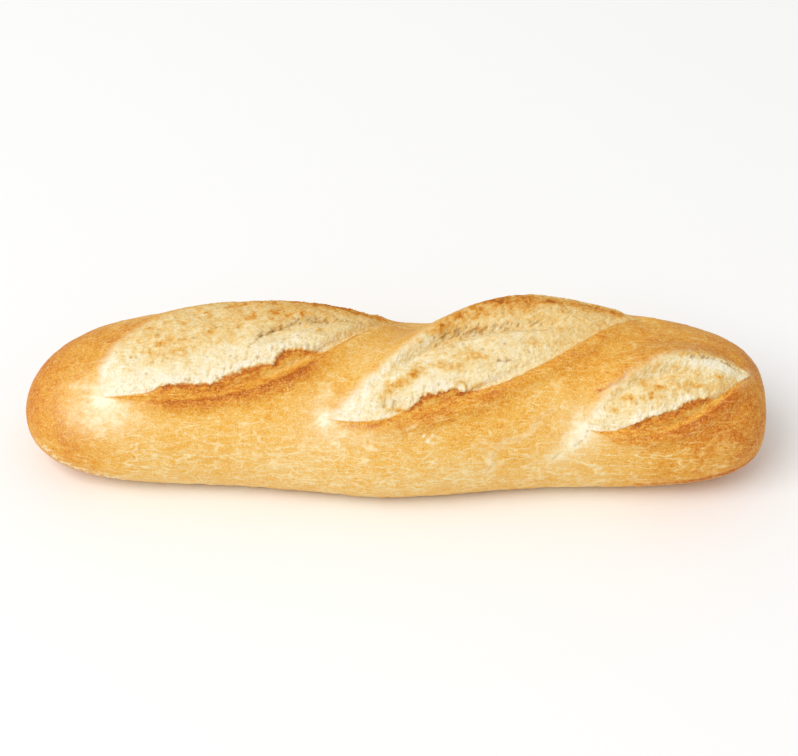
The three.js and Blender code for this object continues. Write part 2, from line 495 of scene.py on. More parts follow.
@dataclass(frozen=True)
class LoafForm:
    """The loaf's main form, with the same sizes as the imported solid."""

    cuts: tuple[Cut, ...]
    length: float = 250.0
    half_width: float = 32.2
    crown: float = 27.9
    belly: float = 26.0
    axis_height: float = 21.1
    top_squareness: float = 2.1
    low_squareness: float = 2.4
    left_end: Pair = (4.6, 2.15)  # taper and bluntness
    right_end: Pair = (4.3, 3.25)
    slimming: float = 0.08
    bow: float = 3.5
    swings: Pair = (0.2, -4.8)
    left_drop: float = -4.4
    front_swell: FlankBump = FlankBump(height=7.0, x=-0.2, reach=40.5, degrees=-100.0, spread=45.0)
    back_waist: FlankBump = FlankBump(height=-6.2, x=8.0, reach=25.6, degrees=42.0, spread=40.0)
    crust_lumps: Pair = (0.5, 34.0)  # their height and width
    solid_radius: float = 15.0  # relief fades where the body is thinner than this

    def rounding(self, u: Array) -> Array:
        """Find how much of its full section the loaf has.

        Args:
            u: place along the loaf, from -1 at its left tip to 1 at its right one.

        Returns:
            0 at the tips and up to 1 between them.
        """
        taper = np.where(u < 0.0, self.left_end[0], self.right_end[0])
        bluntness = np.where(u < 0.0, self.left_end[1], self.right_end[1])
        return np.maximum(1.0 - np.abs(u) ** taper, 0.0) ** (1.0 / bluntness)

    def body_radius(self, x: Array, phi: Array) -> Array:
        """Radius of the plain body from its axis.

        Args:
            x: stations along the loaf.
            phi: angles round it, 0 at the crown.

        Returns:
            The radius in millimetres.
        """
        u = 2.0 * x / self.length
        rounding = self.rounding(u)
        fullness = 1.0 - self.slimming * (0.5 - u * u)
        across, upward = np.sin(phi), np.cos(phi)
        wide = np.maximum(self.half_width * rounding * fullness, 1e-6)
        top = upward > 0.0
        high = np.maximum(np.where(top, self.crown * fullness, self.belly) * rounding, 1e-6)
        n = np.where(top, self.top_squareness, self.low_squareness)
        plain = (np.abs(across / wide) ** n + np.abs(upward / high) ** n) ** (-1.0 / n)
        return plain + self.front_swell.at(x, phi) + self.back_waist.at(x, phi)

    def axis(self, x: Array) -> tuple[Array, Array]:
        """Find where the loaf's axis runs.

        Args:
            x: stations along the loaf.

        Returns:
            The axis's y and z there.
        """
        u2 = (2.0 * x / self.length) ** 2
        swing = np.where(x < 0.0, *self.swings)
        drop = np.where(x < 0.0, self.left_drop, 0.0)
        return self.bow * (1.0 - u2) + swing * u2, self.axis_height + drop * u2 * u2

    def point(self, x: Array, w: Array) -> Array:
        """The point of the loaf's skin at each station and girth, before the base is cut.

        Args:
            x: stations along the loaf.
            w: girths round it.

        Returns:
            Points in millimetres, one row each.
        """
        phi = w / GIRTH_RADIUS
        smooth_below = ease(math.radians(120.0), math.radians(80.0), np.abs(phi))
        relief = lumps(*self.crust_lumps, x, w) * smooth_below
        for cut in self.cuts:
            relief = relief + cut.relief(x, w)
        body = self.body_radius(x, phi)
        radius = body + relief * np.minimum(body / self.solid_radius, 1.0)
        y, z = self.axis(x)
        return np.stack([x, y + radius * np.sin(phi), z + radius * np.cos(phi)], axis=-1)

    def normal(self, x: Array, w: Array, step: float = 0.5) -> Array:
        """Outward direction of the skin.

        Args:
            x: stations along the loaf.
            w: girths round it.
            step: how far to each side the slope is taken, in millimetres.

        Returns:
            Directions of length 1, one row each.
        """
        limit = self.length / 2.0 - 1e-3
        low, high = np.clip(x - step, -limit, limit), np.clip(x + step, -limit, limit)
        lengthwise = self.point(high, w) - self.point(low, w)
        girthwise = self.point(x, w + step) - self.point(x, w - step)
        normal = np.cross(lengthwise, girthwise)
        return normal / np.maximum(np.linalg.norm(normal, axis=1, keepdims=True), 1e-9)

    def stations(self, count: int) -> Array:
        """Stations along the loaf, evenly spaced along its side outline.

        Args:
            count: how many stations, the two tips not counted.

        Returns:
            The stations in millimetres.
        """
        u = np.sin(np.linspace(-1.0, 1.0, 20001) * math.pi / 2.0)
        x, r = u * self.length / 2.0, self.rounding(u) * self.half_width
        run = np.concatenate([[0.0], np.cumsum(np.hypot(np.diff(x), np.diff(r)))])
        return np.interp(np.linspace(0.0, run[-1], count + 2)[1:-1], run, x)


# ----------------------------------------------------------------- marks drawn on the flank


@dataclass(frozen=True)
class Spot:
    """A soft-edged oval on the unrolled flank, such as a toasted blotch or a hollow."""

    x: float
    w: float
    length: float
    width: float
    degrees: float = 0.0
    strength: float = 1.0

    def at(self, x: Array, w: Array) -> Array:
        """Strength of the spot at each place.

        Args:
            x: stations along the loaf.
            w: girths round it.

        Returns:
            The full strength in the middle, falling to about a third at the oval's edge.
        """
        cos, sin = math.cos(math.radians(self.degrees)), math.sin(math.radians(self.degrees))
        along = (x - self.x) * cos + (w - self.w) * sin
        across = (w - self.w) * cos - (x - self.x) * sin
        return self.strength * bell(np.hypot(2.0 * along / self.length, 2.0 * across / self.width))


@dataclass(frozen=True)
class Line:
    """A crack, crease or crest through a few places of the unrolled flank."""

    places: tuple[Pair, ...]
    width: float
    strength: float = 1.0

    FAR = 99.0  # further than any line reaches

    def at(self, x: Array, w: Array) -> Array:
        """Strength of the line at each place.

        Args:
            x: stations along the loaf.
            w: girths round it.

        Returns:
            The full strength on the line, falling to about a third at half its width away.
        """
        nearest = np.full(len(x), self.FAR)
        for (ax, aw), (bx, bw) in zip(self.places, self.places[1:]):
            square = (bx - ax) ** 2 + (bw - aw) ** 2
            share = np.clip(((x - ax) * (bx - ax) + (w - aw) * (bw - aw)) / square, 0.0, 1.0)
            gap = np.hypot(x - ax - share * (bx - ax), w - aw - share * (bw - aw))
            nearest = np.minimum(nearest, gap)
        return self.strength * bell(2.0 * nearest / self.width)


@dataclass(frozen=True)
class StretchStar:
    """Pale rays in the skin round a tip, where the opening cut drew it thin."""

    x: float
    w: float
    core: float  # radius of the nearly white middle
    reach: float  # radius over which the rays fade
    strength: float

    RAYS_ROUND = 4.2  # more of it gives more rays round the tip
    RAY_LENGTH = 3.6

    def at(self, x: Array, w: Array, noise: SpaceNoise) -> Array:
        """Paleness at each place.

        Args:
            x: stations along the loaf.
            w: girths round it.
            noise: what the rays are drawn from.

        Returns:
            Paleness, 1 in the middle.
        """
        dx, dw = x - self.x, w - self.w
        distance, angle = np.hypot(dx, dw), np.arctan2(dw, dx)
        ring = self.RAYS_ROUND * np.cos(angle), self.RAYS_ROUND * np.sin(angle)
        ring = np.stack([*ring, distance / self.RAY_LENGTH], axis=-1)
        rays = noise.fractal(ring, 1.0, 3)
        middle = bell(distance / self.core / (1.0 + 0.3 * rays)) * (0.9 + 0.3 * rays)
        drawn_thin = self.strength * (0.4 + 0.7 * ease(-0.5, 0.7, rays))
        return middle + drawn_thin * bell(distance / self.reach)


def total(marks: tuple[Spot | Line, ...], x: Array, w: Array) -> Array:
    """Sum of some marks at each place."""
    return sum((mark.at(x, w) for mark in marks), np.zeros(len(x)))


@dataclass(frozen=True)
class Tongue:
    """Browned skin that reaches further into the crumb over a short stretch."""

    t: float
    reach: float
    length: float

    def at(self, place: CutPlace, cut: Cut) -> Array:
        """How much further the skin reaches at each place."""
        return self.reach * bell((place.along - self.t * cut.length) / (self.length / 2.0)) ** 0.6


@dataclass(frozen=True)
class Tear:
    """How the inside of one cut tore and baked."""

    cut: Cut
    skin: tuple[Pair, ...]  # reach of the browned skin at some t
    tongues: tuple[Tongue, ...]
    browned: Pair  # stretch of t in which the ragged edge is dark
    near_toast: tuple[Pair, ...]  # toast of the crumb beside the skin at some t
    far_toast: tuple[Pair, ...]  # and towards the far border
    turnover: Pair  # shares of the width between which the one becomes the other
    far_blend: Pair  # millimetres outside and inside the far border over which crust turns to crumb
    rim_bake: float  # how dark the thin line on the near border is
    rim_span: Pair
    halo_bake: float  # how dark the broad band outside the near border is
    halo_span: Pair
    halo_width: float = 6.0
    crests: tuple[Line, ...] = ()
    blotches: tuple[Spot, ...] = ()
    hollows: tuple[Spot, ...] = ()
    puffs: tuple[Spot, ...] = ()
    creases: tuple[Line, ...] = ()
    cracks: tuple[Line, ...] = ()
    pore_bands: tuple[Line, ...] = ()
    scorches: tuple[Spot | Line, ...] = ()  # dark marks on the skin
    streaks: tuple[Line, ...] = ()  # pale strips on the skin, where it tore late


class Channel(Enum):
    """Values kept on each vertex, which the material reads."""

    CRUMB = "crumb"  # 0 on crust, 1 on open crumb
    BAKE = "bake"  # 0 pale crust, 1 dark crust
    TOAST = "toast"  # 0 white crumb, 1 toasted crumb
    PALE = "pale"  # flour and stretched skin
    PORE = "pore"  # shade in pores and cracks
    CRACKLE = "crackle"  # how clearly the fine pale lines show


@dataclass
class Detail:
    """Fine relief and colour values at some places of the skin."""

    relief: Array
    channels: dict[Channel, Array]


@dataclass
class BakedSurface:
    """Works out the fine relief and the colours of baking anywhere on the loaf."""

    form: LoafForm
    tears: tuple[Tear, ...]
    stars: tuple[StretchStar, ...]
    crust_cracks: tuple[Line, ...]
    pale_patches: tuple[Spot | Line, ...]
    dark_patches: tuple[Spot | Line, ...]
    bumps: tuple[Spot, ...]
    flakes: tuple[Line, ...]
    noise: SpaceNoise = field(default_factory=lambda: SpaceNoise(11))
    other: SpaceNoise = field(default_factory=lambda: SpaceNoise(29))

    def detail(self, x: Array, w: Array, points: Array) -> Detail:
        """Work out the detail of the skin.

        Args:
            x: stations along the loaf.
            w: girths round it.
            points: the points of the main form at those places.

        Returns:
            Fine relief in millimetres and the colour values.
        """
        detail = self.crust(x, w, points)
        for tear in self.tears:
            self.tear_open(tear, x, w, points, detail)
        for values in detail.channels.values():
            np.clip(values, 0.0, 1.0, out=values)
        return detail

    def crust(self, x: Array, w: Array, points: Array) -> Detail:
        """Work out the closed crust, as if there were no cuts.

        Args:
            x: stations along the loaf.
            w: girths round it.
            points: the points of the main form at those places.

        Returns:
            Fine relief in millimetres and the colour values.
        """
        noise, other = self.noise, self.other
        flat = np.stack([x, w], axis=-1)
        broad = noise.fractal(points, 26.0)
        middle = other.fractal(points, 7.0)
        fine = noise.fractal(points, 2.2)
        front = np.abs(w)

        # oven-dried skin: shallowly uneven, with long low wrinkles above the base
        relief = 0.17 * middle + 0.09 * fine
        warped = flat + 3.0 * np.stack([broad, 0.6 * middle], axis=-1)
        wave = noise.smooth(drawn(warped, 4.6), 3.6)
        wave = wave + 0.3 * other.smooth(drawn(warped, 3.0), 1.6)
        band = ease(40.0, 56.0, front) * ease(80.0, 68.0, front) * ease(120.0, 95.0, np.abs(x))
        relief += 0.28 * band * wave

        # creased skin where the loaf meets the baking sheet
        low = ease(7.0, 1.0, points[:, 2])
        relief += 0.30 * low * noise.fractal(drawn(flat, 1.8), 1.6, 2)

        # blisters: small round bubbles under the skin
        near_seed, tag = noise.cells(points, 2.6)
        blister = ease(0.42, 0.12, near_seed) * ease(0.72, 0.9, tag)
        relief += 0.09 * blister + total(self.bumps, x, w)

        # browning: mottled, darker towards the ends and the base, lighter low on the flank
        net = other.smooth(drawn(flat, 1.3) + 2.0 * middle[:, None], 5.0)
        bake = 0.475 + 0.12 * broad + 0.08 * middle + 0.09 * fine - 0.05 * bell(net / 0.09)
        bake += 0.10 * ease(55.0, 85.0, x) + 0.16 * ease(80.0, 118.0, x)
        # the left end is darker partly from browning and partly as painted shade
        bake += 0.29 * ease(-78.0, -112.0, x)
        bake -= 0.13 * ease(36.0, 58.0, front) * ease(112.0, 50.0, x)
        bake += 0.30 * ease(1.4, 0.1, points[:, 2])
        bake += total(self.dark_patches, x, w)

        # flour, flaking skin and the skin drawn thin round the tips of the cuts
        pale = 0.08 * blister + total(self.pale_patches, x, w) * (1.0 + 0.7 * middle + 1.1 * fine)
        flaky = total(self.flakes, x, w) * ease(-0.1, 0.35, other.fractal(flat, 1.7, 3))
        relief += 0.5 * flaky
        pale += 0.8 * flaky
        for star in self.stars:
            pale += star.at(x, w, other)

        # cracks, each with painted shade in it and paler skin beside it
        pore = np.zeros(len(x))
        for crack in self.crust_cracks:
            broken = ease(-0.45, 0.1, other.smooth(points, 1.6))
            depth = crack.at(x, w) * broken
            relief -= 0.20 * depth
            pore += 0.50 * depth
            beside = Line(crack.places, crack.width * 3.4, crack.strength).at(x, w)
            pale += 0.26 * beside * (1.0 - depth) * (1.0 + 0.9 * fine)

        # the fine pale lines show most on the flank, and fade towards the ends
        patchy = ease(-0.35, 0.3, other.smooth(flat, 12.0) + 0.1)
        crackle = 0.36 + 0.22 * patchy + 0.42 * ease(34.0, 52.0, front)
        crackle = crackle * (1.0 - 0.6 * ease(-94.0, -116.0, x) - 0.3 * ease(94.0, 116.0, x))
        channels = {
            Channel.CRUMB: np.zeros(len(x)),
            Channel.BAKE: bake,
            Channel.TOAST: np.full(len(x), 0.3),
            Channel.PALE: pale,
            Channel.PORE: pore,
            Channel.CRACKLE: crackle,
        }
        return Detail(relief, channels)

    def tear_open(self, tear: Tear, x: Array, w: Array, points: Array, detail: Detail) -> None:
        """Add the torn inside of one cut to the detail of the crust.

        Args:
            tear: how the cut tore and baked.
            x: stations along the loaf.
            w: girths round it.
            points: the points of the main form at those places.
            detail: the detail so far, which is changed.
        """
        cut = tear.cut
        noise, other = self.noise, self.other
        place = cut.place(x, w)
        t, fn, ff, v = place.t, place.from_near, place.from_far, place.v
        tip = bell(place.past_tip / 1.2)
        local = np.stack([place.along, fn], axis=-1)
        flat = np.stack([x, w], axis=-1)
        middle = other.fractal(points, 5.0)
        fine = noise.fractal(points, 1.5, 3)
        grain = other.fractal(points, 0.8, 2)
        strand = noise.fractal(drawn(local, 3.2), 0.9, 2)
        fibre = other.fractal(drawn(flat, 1.0, 3.0) + 0.4 * fine[:, None], 1.3, 3)

        # the ragged edge, where early-torn browned skin ends and fresher crumb starts
        edge = profile(tear.skin, t)
        for tongue in tear.tongues:
            edge = edge + tongue.at(place, cut)
        dark_edge = between(t, *tear.browned, 0.06)
        ragged = noise.smooth(local, 3.0) + 0.8 * other.smooth(local, 1.2)
        edge = np.maximum(edge + ragged * (0.2 + 0.8 * dark_edge), 0.3)
        in_crumb = ease(-0.25, 0.3, fn - edge)
        outside, inside = tear.far_blend
        before_far = ease(-outside, inside, ff + 1.2 * noise.smooth(local, 4.0) + 0.6 * fine)
        crumb = in_crumb * before_far * tip

        # skin between near border and ragged edge: drawn into strands, darkest at its brim
        skin = ease(-0.8, 0.6, fn) * (1.0 - in_crumb) * ease(-0.5, 0.6, ff) * tip
        depth = np.clip(fn / np.maximum(edge, 0.6), 0.0, 1.0)
        brim = bell((edge - fn - 0.3) / 1.7)
        scorch = total(tear.scorches, x, w) * (1.0 + 0.8 * fine)
        streak = np.clip(total(tear.streaks, x, w) * (0.9 + 1.1 * strand + 0.5 * fine), 0.0, 1.0)
        skin_bake = 0.64 + 0.26 * strand + 0.14 * fine + scorch - 0.40 * streak
        skin_bake = skin_bake + dark_edge * (0.10 * depth + 0.27 * brim * (0.9 + 0.9 * fine))

        # crust outside the borders: a thin dark rim and a broad browner band
        rim = tear.rim_bake * between(t, *tear.rim_span, 0.08) * bell(fn + 0.3)
        halo = tear.halo_bake * between(t, *tear.halo_span, 0.15)
        halo = halo * (1.0 + 0.4 * middle + 0.2 * strand)
        halo = halo * bell(np.minimum(fn + 0.5, 0.0) / tear.halo_width) * (fn < 2.0)
        halo = halo + 0.06 * bell(np.minimum(ff, 0.0) / 3.5) * (ff < 0.5) * ease(0.02, 0.2, t)
        outer = (rim * (1.0 + 0.9 * fine) + halo) * bell(place.past_tip / 2.5)

        # open crumb: puffs, hollows, cracks, and pores that crowd along the torn line
        puff = total(tear.puffs, x, w)
        hollow = total(tear.hollows, x, w)
        crease = total(tear.creases, x, w)
        crack = total(tear.cracks, x, w) * ease(-0.5, 0.1, other.smooth(points, 1.3))
        crowd = np.clip(total(tear.pore_bands, x, w), 0.0, 1.0)
        gaps = noise.fractal(drawn(local, 2.4) + 7.0, 1.0, 3) + 0.30 * crowd
        pit = ease(0.24, 0.46, gaps) * ease(0.05, 0.5, crowd)
        near_seed, tag = noise.cells(points, 2.1)
        pit = np.maximum(pit, ease(0.4, 0.12, near_seed) * ease(0.90, 0.97, tag))
        small_seed, small_tag = other.cells(points, 0.95)
        near_side = ease(0.42, 0.22, v) * ease(0.85, 0.65, t)
        rare = 0.80 - 0.3 * crowd - 0.14 * near_side
        small = ease(0.5, 0.15, small_seed) * ease(rare, rare + 0.12, small_tag)
        calm = 1.0 - 0.6 * np.clip(puff, 0.0, 1.0)
        tufts = dark_edge * bell((fn - edge - 1.6) / 2.2)

        # relief: cottony lumps in the crumb, strands in the skin
        ridge = np.clip(crease, 0.0, 1.0) * (0.95 + 0.4 * other.smooth(points, 2.4) + 0.5 * fine)
        body = 0.34 * middle + (0.24 * fine + 0.12 * grain + 0.16 * strand) * calm
        body = body + 0.5 * puff - hollow + 0.40 * ridge - 0.6 * crack
        body = body - (0.55 * pit + 0.18 * small) * calm - 0.30 * crowd
        fluff = fibre * np.clip(tufts + 0.55 * near_side, 0.0, 1.0)
        body = body + dark_edge * 0.55 * bell((fn - edge - 1.1) / 1.2) + 0.38 * fluff
        strands = 0.24 * strand + 0.08 * fine - 0.30 * dark_edge * brim
        share = np.clip(crumb, 0.0, 1.0)
        detail.relief[:] = detail.relief * (1.0 - 0.8 * share) + share * body + skin * strands

        # toast: more towards the far border, in blotches and on the crests
        toasted = ease(*tear.turnover, v + 0.12 * middle)
        toast = blend(profile(tear.near_toast, t), profile(tear.far_toast, t), toasted)
        mottle = other.fractal(points + 31.0, 2.6, 3)
        crest = total(tear.crests, x, w)
        even = 1.0 - np.clip(1.6 * crest, 0.0, 0.6)
        toast = toast + (0.21 * mottle * even + 0.12 * grain) * (0.6 + 0.4 * toasted)
        spots = ease(0.12, 0.42, noise.fractal(points + 53.0, 3.6, 3))
        toast = toast + 0.16 * spots * ease(0.2, 0.6, v) * ease(0.06, 0.2, t)
        browning = ease(-0.35, 0.3, other.fractal(points + 17.0, 1.9, 2))
        toast = toast + total(tear.blotches, x, w) * (0.35 + 0.8 * browning + 0.5 * fine)
        toast = toast + crest * (0.8 + 0.4 * browning + 0.15 * middle + 0.15 * fine)
        toast = toast + 0.34 * ridge - 0.06 * puff + 0.12 * strand * calm
        toast = toast + dark_edge * 0.30 * bell((fn - edge) / 0.5) - 0.20 * fluff - 0.10 * tufts

        # painted grey-brown shade in pores, cracks, hollows and the gaps between the tufts
        shade = 0.40 * pit + 0.22 * small + 0.7 * crack + 0.10 * crowd
        shade = shade + 0.40 * np.clip(hollow, 0.0, 1.0) + 0.42 * ease(0.10, 0.55, -fluff)
        channels = detail.channels
        channels[Channel.BAKE] = blend(channels[Channel.BAKE] + outer, skin_bake, skin)
        channels[Channel.PALE] *= 1.0 - np.clip(0.8 * skin + share + 2.0 * outer, 0.0, 1.0)
        channels[Channel.CRACKLE] *= 1.0 - np.clip(0.5 * skin + share + 0.6 * outer, 0.0, 1.0)
        channels[Channel.TOAST] = blend(channels[Channel.TOAST], toast, ease(0.0, 0.2, share))
        channels[Channel.PORE] = blend(channels[Channel.PORE], shade, share)
        channels[Channel.CRUMB] = np.maximum(channels[Channel.CRUMB], share)


# ------------------------------------------------------------------------------ materials


def add(
    tree: bpy.types.NodeTree,
    kind: str,
    inputs: dict[str | int, object] | None = None,
    ramp: tuple[tuple[float, str], ...] = (),
    **settings: object,
) -> bpy.types.Node:
    """Add a node with its settings and links.

    Args:
        tree: the node tree that gets it.
        kind: Blender's name for the kind of node.
        inputs: for each input, a socket to link or a value to set.
        ramp: stops of a colour ramp, as place and hex colour.
        **settings: other properties of the node.

    Returns:
        The new node.
    """
    node = tree.nodes.new(kind)
    for name, value in settings.items():
        setattr(node, name, value)
    for name, value in (inputs or {}).items():
        if isinstance(value, Socket):
            tree.links.new(value, node.inputs[name])
        else:
            node.inputs[name].default_value = value
    if ramp:
        stops = node.color_ramp.elements
        while len(stops) < len(ramp):
            stops.new(0.5)
        for stop, (place, colour) in zip(stops, ramp):
            stop.position = place
            stop.color = linear(colour)
    return node


@dataclass(frozen=True)
class BakedWheatCrust:
    """Wheat dough skin dried and browned in a steam oven.

    Steam sets the skin before it browns, which leaves it thin and satin rather than shiny. The
    sugars in it brown unevenly, so the gold is mottled down to a millimetre, and it splits into
    a web of hair-fine pale lines as it cools.
    """

    tones: tuple[tuple[float, str], ...] = (
        (0.00, "F5DA9C"),
        (0.20, "F0C87E"),
        (0.40, "ECB655"),
        (0.60, "E29F38"),
        (0.80, "D17E27"),
        (1.00, "B15D15"),
    )
    pale: str = "FCF2D2"
    roughness: float = 0.55
    mottle_size: float = 1.3
    mottle: float = 0.30  # how much the mottling changes the browning
    speckle_size: float = 0.6  # finer on a real crust, drawn as coarse as it needs to show
    speckle: float = 0.74
    grain_size: float = 0.45  # too fine to show at its real size, so drawn coarser
    grain_depth: float = 0.05
    strand_size: float = 0.72  # width of the drawn-out strands
    strand_strength: float = 0.30
    web_size: float = 3.7  # spacing of the wavy lines
    line_width: float = 0.44  # hair-fine on a real crust, drawn wider to show
    line_height: float = 0.06
    line_lightening: float = 0.23
    line_paleness: float = 0.14
    fleck_size: float = 0.62  # flour dust is finer, so it is drawn as small clumps
    stretch: float = 5.8  # how much longer strands and lines are along the loaf
    drift_size: float = 7.0  # the lines wander over this length
    drift: float = 4.0  # by this much
    dusting: Pair = (1.6, 0.2)  # how far the mottling breaks up flour, and what it leaves
    pale_lightening: float = 0.55


@dataclass(frozen=True)
class OpenWheatCrumb:
    """The bread's inside, torn open by steam and dried by the oven's heat.

    A dry sponge of thin starch walls scatters light, so it looks matt and nearly white, with
    grey-brown shade in its pores and gold where the walls toasted.
    """

    tones: tuple[tuple[float, str], ...] = (
        (0.00, "FBF1D8"),
        (0.25, "F4E0B0"),
        (0.45, "EDCB88"),
        (0.65, "E6B15D"),
        (0.82, "D78C31"),
        (1.00, "B36520"),
    )
    pore: str = "B48C58"
    roughness: float = 0.88
    grain_size: float = 0.7
    grain: float = 0.34  # how much the grain changes the toasting
    grain_depth: float = 0.24
    speckle_size: float = 0.45  # too fine to show at its real size, so drawn coarser
    speckle: float = 0.18
    pit_size: float = 1.3
    pit_shade: float = 0.22
    pit_room: Pair = (0.42, -0.12)  # spread of the pores' radii, and the smallest of them
    pit_edge: Pair = (-0.06, 0.08)  # how softly a pore's rim starts and ends


@dataclass(frozen=True)
class BreadMaterial:
    """One material that goes from crust to open crumb, as on the real loaf."""

    crust: BakedWheatCrust = BakedWheatCrust()
    crumb: OpenWheatCrumb = OpenWheatCrumb()
    ior: float = 1.45
    specular: float = 0.14

    def build(self) -> bpy.types.Material:
        """Make the node material.

        Returns:
            The new material.
        """
        crust, crumb = self.crust, self.crumb
        material = bpy.data.materials.new("baked_wheat_bread")
        material.use_nodes = True
        tree = material.node_tree
        tree.nodes.clear()
        place = add(tree, "ShaderNodeTexCoord").outputs["Object"]
        value = {
            channel: add(
                tree, "ShaderNodeAttribute", attribute_type="GEOMETRY", attribute_name=channel.value
            ).outputs["Fac"]
            for channel in Channel
        }
        mottle = self.noise(tree, place, crust.mottle_size, 3.0)
        speckle = self.noise(tree, place, crust.speckle_size, 2.0)
        grain = self.noise(tree, place, crumb.grain_size, 4.0)
        dust = self.noise(tree, place, crumb.speckle_size, 2.0)
        pits = self.pits(tree, place)

        lines = self.flecks(tree, place, value[Channel.CRACKLE])
        bake = self.vary(tree, value[Channel.BAKE], mottle, crust.mottle)
        bake = self.vary(tree, bake, speckle, crust.speckle)
        bake = self.scaled(tree, lines, -crust.line_lightening, bake)
        toast = self.vary(tree, value[Channel.TOAST], grain, crumb.grain)
        toast = self.vary(tree, toast, dust, crumb.speckle)
        flour = self.times(tree, self.scaled(tree, mottle, *crust.dusting), value[Channel.PALE])
        paleness = self.scaled(tree, lines, crust.line_paleness, flour, clamp=True)
        bake = self.scaled(tree, paleness, -crust.pale_lightening, bake)
        crust_colour = add(tree, "ShaderNodeValToRGB", {0: bake}, crust.tones).outputs["Color"]
        crumb_colour = add(tree, "ShaderNodeValToRGB", {0: toast}, crumb.tones).outputs["Color"]
        crust_colour = self.mix(tree, paleness, crust_colour, linear(crust.pale))
        colour = self.mix(tree, value[Channel.CRUMB], crust_colour, crumb_colour)
        crumb_pits = self.times(tree, pits, value[Channel.CRUMB])
        shade = self.scaled(tree, crumb_pits, crumb.pit_shade, value[Channel.PORE], clamp=True)
        colour = self.mix(tree, shade, colour, linear(crumb.pore))
        roughness = add(
            tree,
            "ShaderNodeMapRange",
            {"Value": value[Channel.CRUMB], "To Min": crust.roughness, "To Max": crumb.roughness},
        ).outputs["Result"]
        rough_skin = self.noise(tree, place, crust.grain_size, 2.0)
        normal = None
        for height, depth in (
            (rough_skin, crust.grain_depth),
            (lines, crust.line_height),
            (self.times(tree, grain, value[Channel.CRUMB]), crumb.grain_depth),
        ):
            inputs = {"Height": height, "Distance": depth * MM, "Strength": 1.0}
            if normal:
                inputs["Normal"] = normal
            normal = add(tree, "ShaderNodeBump", inputs).outputs["Normal"]
        shader = add(
            tree,
            "ShaderNodeBsdfPrincipled",
            {
                "Base Color": colour,
                "Roughness": roughness,
                "Metallic": 0.0,
                "IOR": self.ior,
                "Specular IOR Level": self.specular,
                "Normal": normal,
            },
        )
        add(tree, "ShaderNodeOutputMaterial", {"Surface": shader.outputs["BSDF"]})
        return material

    def noise(
        self, tree: bpy.types.NodeTree, place: Socket, size: float, detail: float
    ) -> Socket:
        """Noise from 0 to 1 with lumps of a size in millimetres."""
        inputs = {"Vector": place, "Scale": 1.0 / (size * MM), "Detail": detail}
        return add(tree, "ShaderNodeTexNoise", inputs).outputs["Fac"]

    def vary(self, tree: bpy.types.NodeTree, base: Socket, noise: Socket, amount: float) -> Socket:
        """Add a share of a noise, centred on 0, to a value."""
        centred = add(tree, "ShaderNodeMath", {0: noise, 1: -0.5}, operation="ADD").outputs[0]
        return self.scaled(tree, centred, amount, base)

    def scaled(
        self,
        tree: bpy.types.NodeTree,
        value: Socket,
        factor: float | Socket,
        base: float | Socket,
        clamp: bool = False,
    ) -> Socket:
        """Multiply a value by a factor and add it to another one.

        Args:
            tree: the material's nodes.
            value: what is multiplied.
            factor: what it is multiplied by.
            base: what it is added to.
            clamp: whether the result is kept from 0 to 1.

        Returns:
            The sum.
        """
        inputs = {0: value, 1: factor, 2: base}
        node = add(tree, "ShaderNodeMath", inputs, operation="MULTIPLY_ADD", use_clamp=clamp)
        return node.outputs[0]

    def times(self, tree: bpy.types.NodeTree, first: Socket, second: float | Socket) -> Socket:
        """Multiply two values."""
        return add(tree, "ShaderNodeMath", {0: first, 1: second}, operation="MULTIPLY").outputs[0]

    def mix(
        self, tree: bpy.types.NodeTree, share: Socket, first: Socket, second: Socket | tuple
    ) -> Socket:
        """Mix two colours by a share from 0 to 1."""
        inputs = {"Fac": share, "Color1": first, "Color2": second}
        return add(tree, "ShaderNodeMixRGB", inputs).outputs["Color"]

    def flecks(self, tree: bpy.types.NodeTree, place: Socket, amount: Socket) -> Socket:
        """Draw the crust's fine light marks.

        Args:
            tree: the material's nodes.
            place: where the surface is.
            amount: how clearly the strands and lines show.

        Returns:
            About 0 on plain skin and up to 1 on a strand, a wavy line or a fleck.
        """
        crust = self.crust
        inputs = {"Vector": place, "Scale": 1.0 / (crust.drift_size * MM), "Detail": 2.0}
        drift = add(tree, "ShaderNodeTexNoise", inputs).outputs["Color"]
        inputs = {0: drift, 1: (crust.drift * MM,) * 3, 2: place}
        bent = add(tree, "ShaderNodeVectorMath", inputs, operation="MULTIPLY_ADD").outputs[0]
        inputs = {0: bent, 1: (1.0 / crust.stretch, 1.0, 1.0)}
        long = add(tree, "ShaderNodeVectorMath", inputs, operation="MULTIPLY").outputs[0]
        strand = self.step(tree, self.noise(tree, long, crust.strand_size, 1.0), 0.46, 0.74)
        marks = self.times(tree, strand, crust.strand_strength)

        # wide and narrow meshes of the web, each broken up so that no line runs on for long
        for size, weight in ((crust.web_size, 1.2), (0.55 * crust.web_size, 0.9)):
            inputs = {"Vector": long, "Scale": 1.0 / (size * MM)}
            edges = add(tree, "ShaderNodeTexVoronoi", inputs, feature="DISTANCE_TO_EDGE")
            line = self.step(tree, edges.outputs["Distance"], 0.5 * crust.line_width / size, 0.0)
            broken = self.step(tree, self.noise(tree, place, 1.3 * size, 1.0), 0.38, 0.60)
            marks = self.scaled(tree, self.times(tree, line, broken), weight, marks)
        fleck = self.step(tree, self.noise(tree, place, crust.fleck_size, 1.0), 0.60, 0.76)
        return self.scaled(tree, marks, amount, fleck)

    def step(self, tree: bpy.types.NodeTree, value: Socket, start: float, end: float) -> Socket:
        """Ramp from 0 where a value is at start to 1 where it is at end."""
        inputs = {"Value": value, "From Min": start, "From Max": end}
        return add(tree, "ShaderNodeMapRange", inputs).outputs["Result"]

